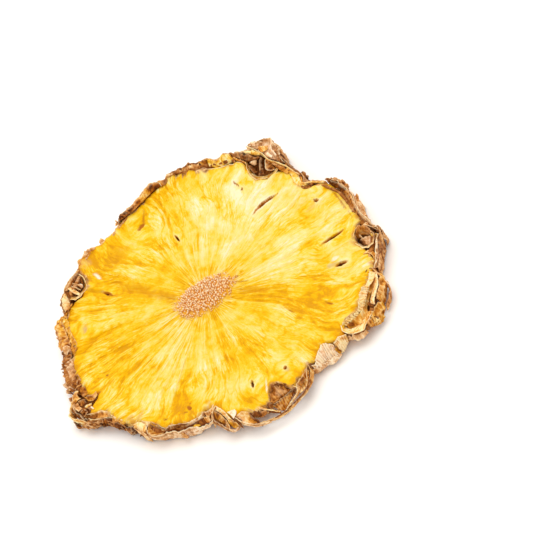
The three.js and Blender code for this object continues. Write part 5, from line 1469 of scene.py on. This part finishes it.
def grain_group():
    """A shader node group that both skins use: fine drawn-out grain and a blotch mask."""
    group = bpy.data.node_groups.new("Papery Grain", "ShaderNodeTree")
    group.interface.new_socket("Vector", in_out="INPUT", socket_type="NodeSocketVector")
    scale = group.interface.new_socket("Scale", in_out="INPUT", socket_type="NodeSocketFloat")
    scale.default_value = 1.0
    group.interface.new_socket("Grain", in_out="OUTPUT", socket_type="NodeSocketFloat")
    group.interface.new_socket("Blotch", in_out="OUTPUT", socket_type="NodeSocketFloat")
    n = Nodes(group)
    start = n.add("NodeGroupInput").outputs
    place = {0: start["Vector"], "Scale": start["Scale"]}
    scaled = n.add("ShaderNodeVectorMath", place, operation="SCALE").outputs[0]
    drawn = n.add("ShaderNodeVectorMath", {0: scaled, 1: (1.5, 2.1, 0.9)}, operation="MULTIPLY").outputs[0]
    grain, blotch = n.noise(drawn, 1.0, 5.0, 0.65, 0.4), n.noise(scaled, 0.28, 3.0, 0.6, 0.6)
    n.add("NodeGroupOutput", {"Grain": grain, "Blotch": blotch})
    return group


def flesh_material(settings):
    """Fibrous flesh: a ramp from brownish gold to cream.

    The ramp is driven by the mesh's paleness, by noise stretched along the fibres, strongest
    where the flesh is fibrous, and outwards more and more by the fruitlets' cells, which are paler
    or deeper as a whole and have golden veins between them. Masks then stain it, mark thin places
    and grey patches, pit it and brown its rim; beside one pit they paint a highlight and shading.
    """
    finish = {
        "Specular IOR Level": 0.17,
        "Specular Tint": (1.0, 0.78, 0.15, 1.0),
        "Subsurface Weight": 0.15,
        "Subsurface Radius": (1.0, 0.5, 0.12),
        "Subsurface Scale": 0.001,
    }
    material, n, shader = new_material("dried_flesh", finish)
    fibre, cell = n.attribute("fibre", "Vector"), n.attribute("cell", "Vector")
    wide, fibrous, fuzz = n.attribute("wide"), n.attribute("fibrous"), n.attribute("fuzz")
    coarse, wisps, hairs = (n.noise(fibre, scale, 4.0, 0.62, 0.2) for scale in (26.0, 60.0, 150.0))
    mottle = n.noise(n.add("ShaderNodeTexCoord").outputs["Object"], 520.0, 4.0, 0.6, 0.6)
    drift = n.add("ShaderNodeTexNoise", {"Vector": cell, "Scale": 9.0, "Detail": 2.0}).outputs["Color"]
    drifted = {0: drift, 1: (0.14, 0.14, 0.14), 2: cell}
    moved = n.add("ShaderNodeVectorMath", drifted, operation="MULTIPLY_ADD").outputs[0]
    cells = {"Vector": moved, "Scale": 6.0}
    patch = n.add("ShaderNodeTexVoronoi", cells, feature="F1").outputs["Color"]
    border = n.add("ShaderNodeTexVoronoi", cells, feature="DISTANCE_TO_EDGE").outputs["Distance"]
    vein = n.math("SUBTRACT", 1.0, n.spread(border, 0.0, 0.07))

    pale = n.pushed(n.attribute("pale"), coarse, n.product(fibrous, 0.75))
    pale = n.pushed(pale, wisps, n.product(fibrous, 1.05))
    pale = n.pushed(pale, hairs, n.math("MULTIPLY_ADD", fibrous, 0.7, 0.3))
    pale = n.pushed(pale, mottle, 0.65)
    pale = n.pushed(pale, patch, n.product(wide, 0.26))
    pale = n.math("SUBTRACT", pale, n.product(vein, wide, wisps, 0.42))
    colour = n.ramp(pale, FLESH_COLOURS)
    rim = n.product(n.attribute("rim"), n.spread(mottle, 0.32, 0.62))
    brown = n.spread(n.pushed(n.attribute("brown"), mottle, 0.7), 0.15, 0.75)
    fuzzy = n.product(n.spread(n.pushed(fuzz, wisps, 1.6), 0.3, 0.85), n.spread(fuzz, 0.02, 0.3))
    pit = n.spread(n.pushed(n.attribute("pit"), mottle, 0.5), 0.25, 0.6)
    for mask, tint in (
        (n.product(n.attribute("ochre"), 0.7), "cf8a14"),
        # grey patches, one of them painted shading beside a pit
        (n.product(n.attribute("grey"), 0.7), "bba58c"),
        # thin places, and a painted highlight beside a pit
        (n.attribute("thin"), "f3e7cd"),
        (n.product(rim, 0.85), "c9801e"),
        (brown, settings.stain_colour),
        (fuzzy, n.ramp(n.pushed(mottle, coarse, 0.7), FUZZ_COLOURS)),
        (n.attribute("core"), "e49a3a"),
        (pit, settings.pit_colour),
    ):
        colour = n.mix(mask, colour, tint)
    dull = settings.flesh_roughness
    rough = n.add("ShaderNodeMapRange", {"Value": wisps, "To Min": dull - 0.1, "To Max": dull + 0.1})
    n.feed(shader.inputs["Roughness"], rough.outputs[0])
    height = n.math("MULTIPLY_ADD", wisps, 0.9, n.product(mottle, 0.3))
    height = n.math("MULTIPLY_ADD", hairs, 0.5, height)
    n.surface(shader, colour, n.math("SUBTRACT", height, n.product(vein, 0.3)), 0.3 * MM)
    return material


def skin_colour(n, grain, blotch, edge_and_highlight_colour):
    """The papery skin's colour: pinkish, orange-brown and golden ramps by tone, mixed by warmth,
    going over to brown in painted shade, and cream along cut edges and in painted highlights."""
    shade = n.pushed(n.pushed(n.attribute("tone"), grain, 1.5), blotch, 0.6)
    cool, warm, golden = (n.ramp(shade, stops) for stops in (COOL_SKIN, WARM_SKIN, GOLD_SKIN))
    warmth = n.attribute("warm")
    colour = n.mix(n.math("ADD", warmth, 0.05, clamp=True), cool, warm)
    colour = n.mix(n.math("SUBTRACT", warmth, 1.0, clamp=True), colour, golden)
    # painted shade: the colour goes over to dark brown as the shade value rises
    colour = n.mix(n.product(n.attribute("hollow"), 0.95), colour, n.ramp(grain, PAINTED_SHADE_COLOURS))
    # cream of the cut edges, and of the painted highlights on ridges
    edge = n.product(n.attribute("crest"), n.spread(blotch, 0.34, 0.5), 0.85)
    return n.mix(edge, colour, edge_and_highlight_colour)


def rind_material(settings, grain_tree):
    """Browned papery skin, drawn from the mesh's tone, warmth, crest and painted shade values."""
    finish = {
        "Roughness": settings.rind_roughness,
        "Specular IOR Level": 0.2,
        "Specular Tint": (1.0, 0.75, 0.45, 1.0),
    }
    material, n, shader = new_material("dried_rind", finish)
    group = n.add("ShaderNodeGroup", node_tree=grain_tree)
    n.feed(group.inputs["Vector"], n.attribute("along", "Vector"))
    grain, blotch = group.outputs["Grain"], group.outputs["Blotch"]
    n.surface(shader, skin_colour(n, grain, blotch, settings.edge_and_highlight_colour), grain, 0.3 * MM)
    return material


def core_material(settings):
    """Cut fibre ends: pale peach painted-lit tips over orange-brown shaded sides, golden at the fringe."""
    finish = {"Roughness": settings.core_roughness, "Specular IOR Level": 0.2}
    material, n, shader = new_material("core_fibre", finish)
    speck = n.noise(n.add("ShaderNodeTexCoord").outputs["Object"], 1500.0, 3.0, 0.6)
    tip = n.ramp(n.attribute("tint"), CORE_LIT_TIPS)
    side = n.ramp(n.attribute("tint"), CORE_SHADED_SIDES)
    tip = n.mix(n.attribute("fringe"), tip, "f2cc7c")
    side = n.mix(n.attribute("fringe"), side, "de9826")
    # painted light: each peg is lit towards its top and painted in shade down its sides
    lit = n.product(n.spread(n.attribute("up"), 0.45, 0.85), n.spread(speck, 0.15, 0.4))
    n.surface(shader, n.mix(lit, side, tip), speck, 0.2 * MM)
    return material


# ---- Stage: floor, lights and camera

CAMERA_ROLL = 32.0
CAMERA_DISTANCE = 700.0
CAMERA_TARGET = (17.68, 2.51, 0.0)
FIELD_WIDTH = 146.84  # what the view takes in across its width at the target
SENSOR_WIDTH = 36.0
KEY_SIZE = 0.9
KEY_PLACE = (-0.35, 0.75, 0.45)  # metres to the camera's right, up and backwards
FLOOR_HALF = 3.0


def view_axes():
    """The camera's right, up and backward directions: it looks along +Y and down by the
    elevation, then is rolled so that the slice's +X climbs to the right."""
    e, r = np.radians(VIEW_ELEVATION), np.radians(CAMERA_ROLL)
    level_right = np.array([1.0, 0.0, 0.0])
    level_up = np.array([0.0, np.sin(e), np.cos(e)])
    back = np.array([0.0, -np.cos(e), np.sin(e)])
    right = np.cos(r) * level_right - np.sin(r) * level_up
    up = np.sin(r) * level_right + np.cos(r) * level_up
    return right, up, back


def build_camera():
    """The camera, at its distance from the target."""
    right, up, back = view_axes()
    data = bpy.data.cameras.new("camera")
    data.sensor_width = SENSOR_WIDTH
    data.lens = SENSOR_WIDTH * CAMERA_DISTANCE / FIELD_WIDTH
    data.clip_start, data.clip_end = 0.01, 10.0
    camera = bpy.data.objects.new("camera", data)
    place = (np.array(CAMERA_TARGET) + CAMERA_DISTANCE * back) * MM
    turn = Matrix([right, up, back]).transposed().to_4x4()
    camera.matrix_world = Matrix.Translation(Vector(place)) @ turn
    bpy.context.scene.collection.objects.link(camera)
    bpy.context.scene.camera = camera


def build_lamp(power):
    """The large soft lamp, aimed at the slice."""
    data = bpy.data.lights.new("key", "AREA")
    data.shape = "DISK"
    data.size = KEY_SIZE
    data.energy = power
    lamp = bpy.data.objects.new("key", data)
    lamp.location = sum((reach * Vector(axis) for reach, axis in zip(KEY_PLACE, view_axes())), Vector())
    lamp.rotation_euler = (-lamp.location).to_track_quat("-Z", "Y").to_euler()
    bpy.context.scene.collection.objects.link(lamp)


def build_floor():
    """A plain pale floor."""
    material, n, shader = new_material("white_floor", {"Roughness": 0.9, "Specular IOR Level": 0.1})
    place = n.add("ShaderNodeTexCoord").outputs["Object"]
    faint = n.noise(place, 6.0, 2.0)
    n.feed(shader.inputs["Base Color"], n.ramp(faint, FLOOR_COLOURS))
    mesh = bpy.data.meshes.new("floor")
    corners = [(x * FLOOR_HALF, y * FLOOR_HALF, 0.0) for x, y in ((-1, -1), (1, -1), (1, 1), (-1, 1))]
    mesh.from_pydata(corners, [], [(0, 1, 2, 3)])
    mesh.materials.append(material)
    floor = bpy.data.objects.new("floor", mesh)
    bpy.context.scene.collection.objects.link(floor)


# ---- Add-on


def length(name, description, default):
    """A length that a user would change."""
    return bpy.props.FloatProperty(
        name=name, description=description, default=default, min=0.0, unit="LENGTH"
    )


def dullness(name, description, default):
    """A roughness that a user would change."""
    return bpy.props.FloatProperty(
        name=name, description=description, default=default, min=0.0, max=1.0, subtype="FACTOR"
    )


def tint(name, description, default):
    """A colour that a user would change."""
    return bpy.props.FloatVectorProperty(
        name=name, description=description, default=srgb(default), size=4, min=0.0, max=1.0, subtype="COLOR"
    )


class SliceSettings(bpy.types.PropertyGroup):
    """What a user would change on the slice."""

    flesh_thickness: length("Flesh Thickness", "How thick the dried flesh is", 2.6 * MM)
    fibre_height: length("Fibre Height", "Plain height of the core's fibre ends", 0.7 * MM)
    flesh_roughness: dullness("Flesh Roughness", "How dull the dried flesh is", 0.5)
    rind_roughness: dullness("Rind Roughness", "How dull the papery skin is", 0.72)
    core_roughness: dullness("Core Roughness", "How dull the cut fibre ends are", 0.8)
    # also the colour of the painted highlights on the skin's ridges
    edge_and_highlight_colour: tint("Cut Edge Colour", "Along the papery skin's cut edges", "fbe6b8")
    stain_colour: tint("Stain Colour", "Browned spots on the flesh", "b0641a")
    pit_colour: tint("Pit Colour", "Inside the flesh's slits and pits", "5a2608")


class StageSettings(bpy.types.PropertyGroup):
    """What a user would change on the lights."""

    sky_strength: bpy.props.FloatProperty(
        name="Sky Strength", description="Brightness of the even white surroundings", default=0.92, min=0.0
    )
    key_power: bpy.props.FloatProperty(
        name="Key Power", description="Power of the large soft lamp", default=4.6, min=0.0, unit="POWER"
    )


class SLICE_OT_flesh(bpy.types.Operator):
    """Makes the fibrous flesh"""

    bl_idname = "slice.flesh"
    bl_label = "Flesh"

    def execute(self, context):
        settings = context.scene.slice_settings
        build_flesh(flesh_material(settings), settings.flesh_thickness / MM)
        return {"FINISHED"}


class SLICE_OT_rind(bpy.types.Operator):
    """Makes the browned rind round the edge"""

    bl_idname = "slice.rind"
    bl_label = "Rind"

    def execute(self, context):
        build_rind(rind_material(context.scene.slice_settings, grain_group()))
        return {"FINISHED"}


class SLICE_OT_folds(bpy.types.Operator):
    """Makes the papery folds and the lumps of skin at the rim"""

    bl_idname = "slice.folds"
    bl_label = "Papery Folds"

    def execute(self, context):
        material = bpy.data.materials.get("dried_rind")
        if material is None:
            raise RuntimeError("Make the rind first: the folds share its material")
        build_folds(material)
        build_scraps(material)
        build_lumps(material)
        return {"FINISHED"}


class SLICE_OT_core(bpy.types.Operator):
    """Makes the core's cut fibre ends"""

    bl_idname = "slice.core"
    bl_label = "Core Fibres"

    def execute(self, context):
        settings = context.scene.slice_settings
        build_core(core_material(settings), settings.fibre_height / MM)
        return {"FINISHED"}


class SLICE_OT_stage(bpy.types.Operator):
    """Makes the floor, the lights and the camera"""

    bl_idname = "slice.stage"
    bl_label = "Stage"

    def execute(self, context):
        settings = context.scene.stage_settings
        build_camera()
        build_floor()
        build_lamp(settings.key_power)
        world = bpy.data.worlds.new("white_surroundings")
        world.use_nodes = True
        sky = world.node_tree.nodes["Background"].inputs
        sky["Color"].default_value = (1.0, 1.0, 1.0, 1.0)
        sky["Strength"].default_value = settings.sky_strength
        context.scene.world = world
        context.scene.view_settings.view_transform = "Standard"
        return {"FINISHED"}


class SLICE_PT_panel(bpy.types.Panel):
    """Lists the pieces in the sidebar"""

    bl_label = "Dried Pineapple Slice"
    bl_idname = "SLICE_PT_panel"
    bl_space_type = "VIEW_3D"
    bl_region_type = "UI"
    bl_category = "Dried Fruit"

    def draw(self, context):
        for operator in OPERATORS:
            self.layout.operator(operator.bl_idname)
        for settings in (context.scene.slice_settings, context.scene.stage_settings):
            for name in settings.__annotations__:
                self.layout.prop(settings, name)


OPERATORS = (SLICE_OT_stage, SLICE_OT_flesh, SLICE_OT_rind, SLICE_OT_folds, SLICE_OT_core)
CLASSES = (SliceSettings, StageSettings, *OPERATORS, SLICE_PT_panel)


def register():
    for cls in CLASSES:
        bpy.utils.register_class(cls)
    bpy.types.Scene.slice_settings = bpy.props.PointerProperty(type=SliceSettings)
    bpy.types.Scene.stage_settings = bpy.props.PointerProperty(type=StageSettings)


def unregister():
    del bpy.types.Scene.stage_settings
    del bpy.types.Scene.slice_settings
    for cls in reversed(CLASSES):
        bpy.utils.unregister_class(cls)


def main():
    register()
    bpy.ops.slice.stage()
    bpy.ops.slice.flesh()
    bpy.ops.slice.rind()
    bpy.ops.slice.folds()
    bpy.ops.slice.core()


if __name__ == "__main__":
    main()
